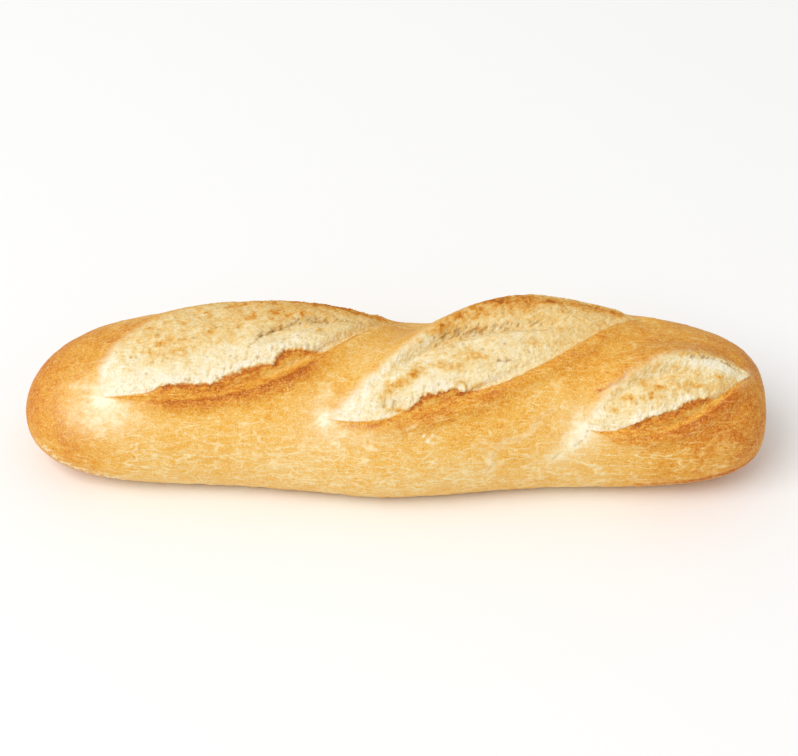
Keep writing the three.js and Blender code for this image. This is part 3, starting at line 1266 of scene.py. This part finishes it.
    def pits(self, tree: bpy.types.NodeTree, place: Socket) -> Socket:
        """Draw the crumb's smallest pores, as the mask for their painted shade.

        Args:
            tree: the material's nodes.
            place: where the surface is.

        Returns:
            1 in a pore and 0 beside it.
        """
        inputs = {"Vector": place, "Scale": 1.0 / (self.crumb.pit_size * MM)}
        cells = add(tree, "ShaderNodeTexVoronoi", inputs)
        draw = add(tree, "ShaderNodeSeparateColor", {0: cells.outputs["Color"]}).outputs["Red"]
        inputs = {0: self.scaled(tree, draw, *self.crumb.pit_room), 1: cells.outputs["Distance"]}
        depth = add(tree, "ShaderNodeMath", inputs, operation="SUBTRACT").outputs[0]
        return self.step(tree, depth, *self.crumb.pit_edge)


# --------------------------------------------------------------------------------- pieces


@dataclass
class Grid:
    """A closed skin of rings, drawn together to one point at each end."""

    first: Array
    rings: Array  # rings x points round each x 3
    last: Array

    def faces(self) -> tuple[list[tuple[int, ...]], list[Pair]]:
        """List the faces and the map place of each face corner.

        Returns:
            Faces as vertex numbers, and for each corner its place on the flat map.
        """
        count, width = self.rings.shape[:2]
        number = 1 + np.arange(count * width).reshape(count, width)
        last = 1 + count * width
        here, beside = number, np.roll(number, -1, axis=1)
        quads = np.stack([here[:-1], here[1:], beside[1:], beside[:-1]], axis=-1)
        i, j = np.meshgrid(np.arange(1, count), np.arange(width), indexing="ij")
        u = np.stack([i, i + 1, i + 1, i], axis=-1) / (count + 1.0)
        v = np.stack([j, j, j + 1, j + 1], axis=-1) / float(width)
        faces = [tuple(face) for face in quads.reshape(-1, 4).tolist()]
        places = np.stack([u, v], axis=-1).reshape(-1, 2).tolist()
        step = 1.0 / (count + 1.0)
        for column in range(width):
            low, high = column / width, (column + 1) / width
            faces.append((0, int(here[0, column]), int(beside[0, column])))
            faces.append((last, int(beside[-1, column]), int(here[-1, column])))
            places += [(0.0, low), (step, low), (step, high)]
            places += [(1.0, low), (1.0 - step, high), (1.0 - step, low)]
        return faces, places

    def points(self) -> Array:
        """All points in the order of the vertex numbers."""
        return np.concatenate([self.first[None], self.rings.reshape(-1, 3), self.last[None]])


def write_mesh(
    name: str, grid: Grid, channels: dict[Channel, Array], material: bpy.types.Material
) -> bpy.types.Object:
    """Make a Blender object from a grid.

    Args:
        name: name of the new object.
        grid: its points in millimetres.
        channels: colour values for each vertex.
        material: what it is made of.

    Returns:
        The new object, in metres.
    """
    mesh = bpy.data.meshes.new(name)
    faces, places = grid.faces()
    mesh.from_pydata((grid.points() * MM).tolist(), [], faces)
    mesh.polygons.foreach_set("use_smooth", np.ones(len(faces), bool))
    for channel, values in channels.items():
        attribute = mesh.attributes.new(channel.value, "FLOAT", "POINT")
        attribute.data.foreach_set("value", values.astype(np.float32))
    uv_map = mesh.uv_layers.new(name="OFBake")
    uv_map.data.foreach_set("uv", np.array(places, np.float32).ravel())
    mesh.materials.append(material)
    mesh.update()
    piece = bpy.data.objects.new(name, mesh)
    bpy.context.scene.collection.objects.link(piece)
    return piece


def flatten(z: Array, radius: float) -> Array:
    """Press heights onto the flat base, with a rounded edge.

    Args:
        z: heights in millimetres.
        radius: how softly the edge of the base is rounded.

    Returns:
        Heights that are never below 0.
    """
    return (z + np.sqrt(z * z + radius * radius)) / 2.0


@dataclass
class LoafCrust:
    """The whole closed crust, which dips under the crumb pieces where the cuts are."""

    surface: BakedSurface
    rings: int = 408
    columns: int = 240
    crowding: float = 0.45  # how much closer the columns are on the top than below
    crowded_degrees: float = -14.0
    sink: float = 3.0  # how deep it dips under a crumb piece
    sink_from: Pair = (3.2, 7.5)  # distances inside that piece where the dip starts and is full
    base_rounding: float = 0.5  # radius of the edge of the flat base

    def build(self, material: bpy.types.Material) -> bpy.types.Object:
        """Build the crust.

        Args:
            material: what it is made of.

        Returns:
            The piece.
        """
        form = self.surface.form
        turn = 2.0 * math.pi * np.arange(self.columns) / self.columns
        phi = math.radians(self.crowded_degrees) + turn - self.crowding * np.sin(turn)
        phi = np.arctan2(np.sin(phi), np.cos(phi))
        stations = form.stations(self.rings)
        x, angle = (part.ravel() for part in np.meshgrid(stations, phi, indexing="ij"))
        w = angle * GIRTH_RADIUS
        points = form.point(x, w)
        detail = self.surface.detail(x, w, points)
        inset = np.max([cut.inset(x, w) for cut in form.cuts], axis=0)
        offset = detail.relief - self.sink * ease(*self.sink_from, inset)
        slender = np.minimum(form.rounding(2.0 * x / form.length) * 2.0, 1.0)
        points = points + form.normal(x, w) * (offset * slender)[:, None]
        points[:, 2] = flatten(points[:, 2], self.base_rounding)
        points[:, 0] = np.clip(points[:, 0], -form.length / 2.0, form.length / 2.0)
        tips = []
        for station in (-form.length / 2.0, form.length / 2.0):
            y, z = form.axis(np.array(station))
            tips.append(np.array([station, float(y), float(z)]))
        grid = Grid(tips[0], points.reshape(self.rings, self.columns, 3), tips[1])
        ends = {name: np.concatenate([v[:1], v, v[-1:]]) for name, v in detail.channels.items()}
        return write_mesh("crust", grid, ends, material)


@dataclass
class CrumbPiece:
    """The opened crumb of one cut with the crust beside it, at full detail.

    It is a thin closed shell that lies in the dip of the crust, with its edge just under the
    crust's skin, so that no gap shows round it.
    """

    surface: BakedSurface
    cut: Cut
    rows: int
    columns: int
    lift: Pair = (-0.2, 0.05)  # how far it stands off the crust, at its own edge and further in
    lift_over: float = 3.0
    tip_crowding: float = 0.7  # how much closer the rows are near the tips
    thickness: float = 3.0
    under_columns: int = 9  # points across its hidden underside

    def build(self, material: bpy.types.Material) -> bpy.types.Object:
        """Build the crumb piece.

        Args:
            material: what it is made of.

        Returns:
            The piece.
        """
        form, cut = self.surface.form, self.cut
        margin = cut.COVER_MARGIN
        shape = (self.rows + 2, self.columns)
        k = np.linspace(0.0, 1.0, self.rows + 2)
        t = blend(k, (1.0 - np.cos(math.pi * k)) / 2.0, self.tip_crowding)
        near, far = cut.outline(t, margin)
        across = near[:, None] + (far - near)[:, None] * np.linspace(0.0, 1.0, self.columns)
        along = np.repeat(t[:, None] * (cut.length + 2.0 * margin) - margin, self.columns, axis=1)
        x, w = (part.ravel() for part in cut.unturn(along, across))
        points = form.point(x, w)
        detail = self.surface.detail(x, w, points)
        outward = form.normal(x, w).reshape(*shape, 3)
        full = points.reshape(*shape, 3) + outward * detail.relief.reshape(*shape, 1)
        lift = blend(*self.lift, ease(0.0, self.lift_over, cut.inset(x, w))).reshape(*shape, 1)

        share = (1.0 + np.cos(np.linspace(0.0, math.pi, self.under_columns + 2)[1:-1])) / 2.0
        under = np.rint(share * (self.columns - 1)).astype(int)
        depth = np.minimum(self.thickness, 0.4 * (far - near))[:, None]
        depth = (depth * np.sqrt(4.0 * share * (1.0 - share)))[..., None]
        below = full[:, under] - outward[:, under] * depth
        rings = np.concatenate([full + outward * lift, below], axis=1)
        grid = Grid(rings[0, 0], rings[1:-1], rings[-1, self.columns - 1])
        channels = {}
        for name, values in detail.channels.items():
            sheet = values.reshape(shape)
            ringed = np.concatenate([sheet, sheet[:, under]], axis=1)[1:-1]
            channels[name] = np.concatenate([sheet[0, :1], ringed.ravel(), sheet[-1, -1:]])
        piece = write_mesh(f"{cut.name}_crumb", grid, channels, material)
        self.smooth_seam(piece, full, under)
        return piece

    def smooth_seam(self, piece: bpy.types.Object, full: Array, under: Array) -> None:
        """Shade the piece as the unlowered surface, so that its edge doesn't show.

        Args:
            piece: the built piece.
            full: the surface without the lowered edge, rows x columns x 3.
            under: the columns that the underside follows.
        """
        normal = np.cross(np.gradient(full, axis=0), np.gradient(full, axis=1))
        normal /= np.maximum(np.linalg.norm(normal, axis=2, keepdims=True), 1e-9)
        normal[0], normal[-1] = normal[1, self.columns // 2], normal[-2, self.columns // 2]
        ringed = np.concatenate([normal, -normal[:, under]], axis=1)[1:-1].reshape(-1, 3)
        every = np.concatenate([normal[0, :1], ringed, normal[-1, -1:]])
        piece.data.normals_split_custom_set_from_vertices(every.tolist())


# --------------------------------------------------------------------------------- studio


@dataclass(frozen=True)
class MattFloorPaint:
    """White emulsion on a smooth floor, so flat that it shows the loaf's shade and no gloss."""

    colour: str = "FBFBFA"
    roughness: float = 0.9
    specular: float = 0.0


@dataclass
class Studio:
    """Pale floor, soft white light and the camera."""

    azimuth: float = 0.0
    elevation: float = 42.0
    distance: float = 700.0
    lens: float = 93.5
    sensor: float = 36.0
    sight: float = 10.0  # how far the camera sees, in metres
    target: tuple[float, float, float] = (1.93, 1.7, 29.51)
    floor_size: float = 4000.0
    paint: MattFloorPaint = MattFloorPaint()
    sky: float = 0.62
    sky_colour: str = "FFFFFF"
    key_power: float = 46.0
    key_size: float = 2000.0
    key_place: tuple[float, float, float] = (-1300.0, -1100.0, 2200.0)

    def floor(self) -> bpy.types.Object:
        """Lay the floor level with the loaf's base.

        Returns:
            The floor.
        """
        half = self.floor_size / 2.0 * MM
        mesh = bpy.data.meshes.new("floor")
        corners = [(-half, -half, 0.0), (half, -half, 0.0), (half, half, 0.0), (-half, half, 0.0)]
        mesh.from_pydata(corners, [], [(0, 1, 2, 3)])
        material = bpy.data.materials.new("painted_studio_floor")
        material.use_nodes = True
        shader = material.node_tree.nodes["Principled BSDF"]
        shader.inputs["Base Color"].default_value = linear(self.paint.colour)
        shader.inputs["Roughness"].default_value = self.paint.roughness
        shader.inputs["Specular IOR Level"].default_value = self.paint.specular
        mesh.materials.append(material)
        floor = bpy.data.objects.new("floor", mesh)
        bpy.context.scene.collection.objects.link(floor)
        return floor

    def light(self) -> None:
        """Set a white surround and one large soft lamp."""
        world = bpy.data.worlds.new("studio")
        world.use_nodes = True
        background = world.node_tree.nodes["Background"]
        background.inputs["Color"].default_value = linear(self.sky_colour)
        background.inputs["Strength"].default_value = self.sky
        bpy.context.scene.world = world
        lamp = bpy.data.lights.new("key", "AREA")
        lamp.energy = self.key_power
        lamp.size = self.key_size * MM
        key = bpy.data.objects.new("key", lamp)
        key.location = Vector(self.key_place) * MM
        key.rotation_euler = (-key.location).to_track_quat("-Z", "Y").to_euler()
        bpy.context.scene.collection.objects.link(key)

    def camera(self) -> None:
        """Stand the camera on its arc round the target."""
        data = bpy.data.cameras.new("camera")
        data.lens = self.lens
        data.sensor_width = self.sensor
        data.clip_end = self.sight
        camera = bpy.data.objects.new("camera", data)
        azimuth, elevation = math.radians(self.azimuth), math.radians(self.elevation)
        level = math.cos(elevation)
        towards = Vector(
            (math.sin(azimuth) * level, -math.cos(azimuth) * level, math.sin(elevation))
        )
        camera.location = (Vector(self.target) + towards * self.distance) * MM
        camera.rotation_euler = (-towards).to_track_quat("-Z", "Y").to_euler()
        bpy.context.scene.collection.objects.link(camera)
        bpy.context.scene.camera = camera

    def colours(self) -> None:
        """Show colours as they are, without a film curve."""
        view = bpy.context.scene.view_settings
        view.view_transform = "Standard"
        view.look = "None"


# ------------------------------------------------------------------------------- the loaf


# A Line is its places, width and strength. A Spot is its station, girth, length, width, turn and
# strength. Where tears are told by stops, each stop is a share of the cut's length and a value.

LEFT_CUT = Cut(
    "left_cut",
    start=(-95.0, -26.6),
    end=(4.0, 31.6),
    near=25.4,
    near_skew=(1.02, 1.0),
    far=26.5,
    far_skew=(0.55, 1.0),
    swell=0.7,
    ear=2.0,
    ear_skew=(1.6, 1.6),
    foot=(0.34, 0.34),
    tear=1.2,
    tear_span=(0.4, 0.8),
    strip=7.0,
    strip_skew=(1.0, 0.7),
)
MIDDLE_CUT = Cut(
    "middle_cut",
    start=(-21.6, -36.0),
    end=(83.1, 16.9),
    near=15.3,
    near_skew=(0.86, 0.97),
    far=19.7,
    far_skew=(1.11, 0.51),
    swell=2.3,
    ear=7.4,
    ear_skew=(2.3, 1.95),
    foot=(0.76, 0.34),
    tear=1.5,
    tear_span=(0.2, 0.8),
    strip=5.0,
    strip_skew=(1.1, 1.6),
)
RIGHT_CUT = Cut(
    "right_cut",
    start=(64.3, -39.4),
    end=(119.0, -7.5),
    near=12.5,
    near_skew=(0.92, 1.06),
    far=12.8,
    far_skew=(0.51, 0.46),
    swell=0.1,
    ear=4.9,
    ear_skew=(2.05, 1.8),
    foot=(0.78, 0.62),
    tear=0.8,
    tear_span=(0.35, 1.0),
    strip=5.0,
    strip_skew=(1.2, 0.9),
)

LEFT_TEAR = Tear(
    LEFT_CUT,
    skin=((0.0, 0.4), (0.12, 3.4), (0.2, 5.6), (0.45, 6.2), (0.54, 5.4), (0.62, 1.6), (1.0, 0.4)),
    tongues=(
        Tongue(0.172, 1.9, 7.0),
        Tongue(0.285, -1.2, 3.0),
        Tongue(0.38, 1.7, 9.0),
        Tongue(0.468, -1.2, 2.0),
        Tongue(0.52, 3.2, 8.0),
    ),
    browned=(0.12, 0.64),
    near_toast=(
        (0.0, 0.0), (0.12, 0.08), (0.3, 0.18), (0.45, 0.22), (0.6, 0.27), (0.7, 0.42),
        (1.0, 0.50),
    ),  # fmt: skip
    far_toast=((0.0, 0.04), (0.08, 0.16), (0.2, 0.40), (0.5, 0.46), (0.65, 0.54), (1.0, 0.52)),
    turnover=(0.25, 0.60),
    far_blend=(3.0, 3.5),
    rim_bake=0.10,
    rim_span=(0.01, 0.85),
    halo_bake=0.40,
    halo_span=(0.0, 0.66),
    halo_width=4.5,
    crests=(
        Line(
            (
                (-50.0, 19.6), (-40.0, 22.0), (-30.0, 23.6),
                (-20.0, 22.6), (-10.0, 21.6), (-1.0, 26.0),
            ),
            14.0, 0.17,
        ),
        Line(
            (
                (-33.0, 22.8), (-24.9, 22.2), (-19.8, 20.6),
                (-14.6, 19.6), (-9.8, 19.6), (-4.6, 21.6),
            ),
            6.0, 0.20,
        ),
    ),
    scorches=(
        Line(
            ((-38.6, -17.0), (-38.4, -14.6), (-36.0, -11.4), (-33.0, -9.8), (-28.0, -9.6)),
            1.7, 0.34,
        ),
        Line(((-27.6, -11.0), (-31.0, -13.2)), 1.2, 0.2),
        Line(((-62.0, -17.0), (-52.0, -12.5), (-45.5, -11.5)), 2.6, 0.14),
        Line(((-76.0, -23.4), (-71.2, -23.6), (-67.9, -23.4)), 1.8, 0.16),
        Line(((-60.0, -20.6), (-55.0, -19.2), (-50.3, -17.8)), 1.8, 0.16),
    ),
    streaks=(
        Line(
            ((-42.0, -20.4), (-35.5, -17.1), (-30.5, -14.4), (-25.8, -11.2), (-21.1, -7.6)),
            3.2, 0.9,
        ),
        Line(
            ((-88.0, -26.0), (-78.0, -24.3), (-66.0, -22.6), (-54.0, -18.4), (-44.0, -17.0)),
            1.0, 0.4,
        ),
    ),
    blotches=(
        Spot(-72.0, -9.6, 7.0, 3.4, 20.0, 0.24),
        Spot(-68.0, -13.0, 2.2, 8.0, 20.0, 0.24),
        Spot(-73.4, -13.0, 3.4, 2.6, 0.0, 0.20),
        Spot(-77.5, -5.9, 4.0, 2.4, 30.0, 0.18),
        Spot(-74.0, -3.8, 4.0, 2.4, 20.0, 0.18),
        Spot(-57.0, -4.8, 3.0, 6.0, 10.0, 0.15),
        Spot(-62.7, 10.7, 1.5, 1.3, 0.0, 0.5),
        Spot(-52.0, 10.4, 6.0, 3.0, 20.0, 0.16),
        Spot(-38.0, 9.0, 9.0, 4.0, 20.0, 0.08),
        Spot(-24.0, 0.0, 4.0, 3.0, 30.0, 0.26),
        Spot(-30.4, 9.0, 2.2, 4.0, 0.0, 0.34),
        Spot(-32.2, 3.6, 2.4, 2.0, 0.0, 0.40),
        Spot(-39.0, 0.2, 5.0, 2.0, 20.0, 0.26),
    ),
    hollows=(Spot(-27.4, 6.6, 8.0, 4.4, 20.0, 1.0),),
    puffs=(Spot(-42.0, -10.0, 14.0, 7.0, 25.0, 1.0), Spot(-31.0, -2.0, 9.0, 5.0, 30.0, 0.8)),
    cracks=(
        Line(
            (
                (-47.4, -8.9), (-45.4, -5.6), (-43.4, -3.3),
                (-40.9, -1.1), (-35.1, 2.1), (-31.3, 6.2),
            ),
            0.75, 0.8,
        ),
    ),
    pore_bands=(
        Line(((-43.0, -2.6), (-38.0, 0.8), (-35.0, 2.8), (-32.0, 5.2)), 3.4),
        Line(((-26.0, 7.0), (-12.0, 9.5)), 4.0, 0.5),
    ),
)
MIDDLE_TEAR = Tear(
    MIDDLE_CUT,
    skin=(
        (0.0, 0.3), (0.16, 1.0), (0.22, 3.0), (0.28, 5.2), (0.34, 4.4), (0.41, 1.6),
        (0.5, 0.5), (1.0, 0.4),
    ),  # fmt: skip
    tongues=(Tongue(0.275, 0.8, 4.0), Tongue(0.345, 0.6, 2.6)),
    browned=(0.20, 0.42),
    near_toast=(
        (0.0, 0.04), (0.14, 0.19), (0.4, 0.27), (0.6, 0.29), (0.68, 0.40), (0.8, 0.46),
        (1.0, 0.52),
    ),  # fmt: skip
    far_toast=(
        (0.0, 0.02), (0.12, 0.12), (0.25, 0.22), (0.5, 0.26), (0.62, 0.40), (0.8, 0.42),
        (1.0, 0.46),
    ),  # fmt: skip
    turnover=(0.35, 0.80),
    far_blend=(2.2, 2.2),
    rim_bake=0.10,
    rim_span=(0.02, 0.35),
    halo_bake=0.18,
    halo_span=(0.08, 0.95),
    halo_width=6.0,
    crests=(
        Line(
            ((16.0, -0.6), (21.0, 3.4), (27.8, 8.0), (34.6, 11.2), (42.0, 12.4), (45.0, 12.8)),
            11.5, 0.42,
        ),
        Line(((53.0, 14.0), (57.0, 14.6), (64.0, 15.6), (70.0, 15.8), (74.4, 15.0)), 6.0, 0.34),
    ),
    scorches=(
        Line(((8.0, -29.6), (12.0, -27.6), (16.0, -26.2)), 2.4, 0.14),
        Line(((4.6, -33.4), (6.2, -32.2)), 1.6, 0.24),
    ),
    streaks=(
        Line(
            ((10.2, -31.4), (14.2, -29.6), (17.6, -28.0), (22.0, -26.6), (30.0, -24.6)),
            1.5, 0.75,
        ),
        Line(((-4.0, -33.6), (3.0, -34.2), (8.0, -33.0)), 1.0, 0.5),
    ),
    blotches=(
        Spot(26.6, -13.8, 10.0, 4.6, 5.0, 0.42),
        Spot(1.5, -33.0, 7.0, 2.4, -4.0, 0.50),
        Spot(16.0, -13.0, 7.0, 2.5, 10.0, 0.15),
        Spot(3.0, -25.4, 8.0, 3.6, 35.0, 0.12),
        Spot(46.0, -8.0, 12.0, 4.0, 15.0, 0.14),
        Spot(37.0, -4.0, 8.0, 3.0, 15.0, 0.12),
    ),
    hollows=(Spot(0.5, -30.4, 8.0, 2.4, 8.0, 0.4),),
    puffs=(Spot(13.0, -22.6, 15.0, 7.5, 10.0, 1.0), Spot(30.0, -8.0, 26.0, 7.0, 20.0, 0.35)),
    creases=(
        Line(
            ((-3.3, -28.4), (-1.1, -26.8), (1.1, -25.3), (3.7, -23.6), (5.9, -21.8), (7.6, -19.9)),
            3.6,
        ),
        Line(((7.6, -19.9), (10.2, -18.8), (12.9, -18.1), (15.5, -18.1)), 2.6, 0.6),
        Line(((15.5, -18.1), (18.1, -19.1), (20.2, -18.4), (22.4, -18.1)), 3.0, 0.9),
        Line(((20.4, -25.4), (21.2, -24.0), (22.8, -24.0), (23.4, -25.2)), 1.2),
        Line(((25.8, -25.4), (27.1, -24.7), (28.6, -24.0)), 1.4),
    ),
    cracks=(
        Line(((34.5, -15.4), (38.6, -15.1)), 0.8),
        Line(((-2.4, -29.6), (-3.2, -31.8)), 0.8, 0.5),
        Line(((0.6, -30.0), (0.0, -32.0)), 0.8, 0.6),
    ),
    pore_bands=(
        Line(((12.0, -9.9), (16.3, -5.6)), 3.0, 0.22),
        Line(((18.0, -4.6), (21.9, -2.9), (28.8, -0.9), (35.5, -0.3), (39.0, 0.4)), 3.0),
        Line(((42.0, 1.6), (52.0, 3.6)), 2.6, 0.5),
    ),
)
RIGHT_TEAR = Tear(
    RIGHT_CUT,
    skin=(
        (0.0, 0.4), (0.12, 2.2), (0.2, 4.6), (0.3, 6.6), (0.5, 6.4), (0.6, 5.0), (0.68, 2.4),
        (1.0, 0.4),
    ),  # fmt: skip
    tongues=(Tongue(0.33, 0.8, 4.0), Tongue(0.55, 0.8, 5.0)),
    browned=(0.18, 0.68),
    near_toast=(
        (0.0, 0.12), (0.12, 0.16), (0.4, 0.23), (0.55, 0.26), (0.66, 0.44), (0.8, 0.46),
        (1.0, 0.42),
    ),  # fmt: skip
    far_toast=((0.0, 0.10), (0.08, 0.20), (0.2, 0.32), (0.6, 0.35), (0.8, 0.33), (1.0, 0.30)),
    turnover=(0.30, 0.46),
    far_blend=(2.6, 2.4),
    rim_bake=0.10,
    rim_span=(0.02, 0.75),
    halo_bake=0.18,
    halo_span=(-0.05, 0.9),
    halo_width=4.0,
    streaks=(
        Line(((91.3, -34.6), (96.7, -31.4)), 1.0, 0.5),
        Line(((96.7, -31.4), (102.0, -28.0), (107.0, -24.0)), 1.8, 0.8),
    ),
    crests=(
        Line(((94.0, -9.6), (101.0, -5.6), (108.0, -3.8), (116.0, -5.0)), 1.8, 0.26),
        Line(
            ((97.0, -11.6), (102.3, -10.0), (107.5, -9.8), (113.0, -11.0), (116.5, -12.4)),
            5.5, -0.26,
        ),
    ),
    blotches=(
        Spot(98.4, -20.3, 6.4, 2.4, 6.0, 0.38),
        Spot(106.3, -15.5, 4.4, 2.4, 0.0, 0.40),
        Spot(87.0, -22.3, 7.0, 2.6, 20.0, 0.38),
        Spot(84.3, -25.8, 3.0, 3.4, 0.0, 0.40),
        Spot(77.0, -27.6, 4.4, 3.4, 30.0, 0.34),
        Spot(71.9, -31.2, 4.4, 3.0, 30.0, 0.28),
        Spot(80.5, -20.6, 5.0, 3.0, 20.0, 0.24),
        Spot(95.0, -14.4, 8.0, 2.4, 10.0, 0.26),
        Spot(91.0, -18.0, 5.0, 2.0, 10.0, 0.14),
    ),
    puffs=(Spot(103.0, -11.0, 20.0, 6.0, 8.0, 0.6),),
    pore_bands=(Line(((97.0, -9.4), (105.2, -6.2), (111.0, -6.2), (115.0, -7.6)), 1.8, 0.7),),
)

STARS = (
    StretchStar(-95.2, -27.6, 3.0, 13.0, 0.46),
    StretchStar(-22.2, -36.0, 2.2, 8.0, 0.30),
    StretchStar(62.4, -39.0, 2.4, 8.0, 0.44),
)
PALE_PATCHES = (
    Spot(-14.0, -41.5, 34.0, 8.0, 0.0, 0.14),
    Spot(-98.0, -35.0, 20.0, 14.0, 0.0, 0.26),
    Spot(-103.0, -20.0, 14.0, 3.0, -15.0, 0.20),
    Spot(58.0, -44.5, 20.0, 6.0, 45.0, 0.36),
    Spot(116.0, -10.0, 4.0, 14.0, -20.0, 0.26),
    Spot(5.0, -38.2, 1.8, 0.7, 10.0, 0.8),
    Spot(6.8, -37.4, 1.2, 0.8, 0.0, 0.8),
    Spot(5.6, -40.4, 0.9, 0.8, 30.0, 0.8),
    Spot(9.9, -41.0, 1.1, 0.7, 50.0, 0.7),
    Spot(11.4, -42.4, 1.2, 0.8, 40.0, 0.9),
    Spot(12.8, -41.0, 1.2, 0.7, 40.0, 0.8),
    Line(((28.3, -42.6), (35.1, -45.3), (41.3, -41.8), (47.8, -37.8)), 2.4, 0.08),
)
DARK_PATCHES = (
    Spot(-86.0, 13.0, 24.0, 9.0, 50.0, 0.14),
    Spot(62.0, -16.0, 30.0, 16.0, 30.0, 0.08),
    Spot(108.0, -38.0, 40.0, 30.0, 0.0, 0.08),
    Line(((67.0, -25.2), (70.5, -22.8), (73.3, -21.6), (75.6, -19.8)), 1.6, 0.34),
    Spot(-14.2, -38.0, 6.0, 2.2, 5.0, 0.26),
    Spot(-7.0, -37.8, 8.0, 2.2, 8.0, 0.26),
    Spot(16.0, -34.4, 9.0, 4.0, 12.0, 0.18),
    Spot(33.0, -26.6, 9.0, 3.0, 30.0, 0.14),
    Line(((82.0, -67.0), (100.0, -66.0), (121.0, -63.0)), 3.0, 0.35),
)
CRUST_BUMPS = (
    Spot(86.6, 19.6, 9.0, 6.0, 10.0, 0.9),
)
CRUST_FLAKES = (
    Line(
        ((-117.5, -57.0), (-113.0, -61.0), (-106.5, -64.6), (-98.0, -66.6), (-90.0, -68.0)),
        5.0, 1.0,
    ),
)
CRUST_CRACKS = (
    Line(
        ((26.4, -44.5), (32.4, -48.1), (36.6, -42.8), (43.4, -42.2), (48.0, -34.8), (52.4, -32.2)),
        0.6, 0.5,
    ),
    Line(((32.4, -48.1), (33.4, -51.2), (30.6, -54.9)), 0.8, 0.6),
    Line(((63.6, -39.5), (62.4, -42.6), (59.4, -45.0)), 0.9),
    Line(((54.4, -48.6), (51.8, -51.4)), 0.7),
)


def main() -> None:
    """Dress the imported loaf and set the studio."""
    logging.basicConfig(level=logging.INFO, format="%(message)s")
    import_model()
    tears = (LEFT_TEAR, MIDDLE_TEAR, RIGHT_TEAR)
    form = LoafForm(tuple(tear.cut for tear in tears))
    surface = BakedSurface(
        form, tears, STARS, CRUST_CRACKS, PALE_PATCHES, DARK_PATCHES, CRUST_BUMPS, CRUST_FLAKES
    )
    bread = BreadMaterial().build()
    builders = (
        LoafCrust(surface),
        CrumbPiece(surface, LEFT_CUT, rows=440, columns=210),
        CrumbPiece(surface, MIDDLE_CUT, rows=450, columns=170),
        CrumbPiece(surface, RIGHT_CUT, rows=270, columns=135),
    )
    for builder in builders:
        piece = builder.build(bread)
        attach(piece, BODY)
        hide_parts(NODE)
        LOG.info("%s: %d faces", piece.name, len(piece.data.polygons))
    studio = Studio()
    studio.floor()
    studio.light()
    studio.camera()
    studio.colours()


if __name__ == "__main__":
    main()
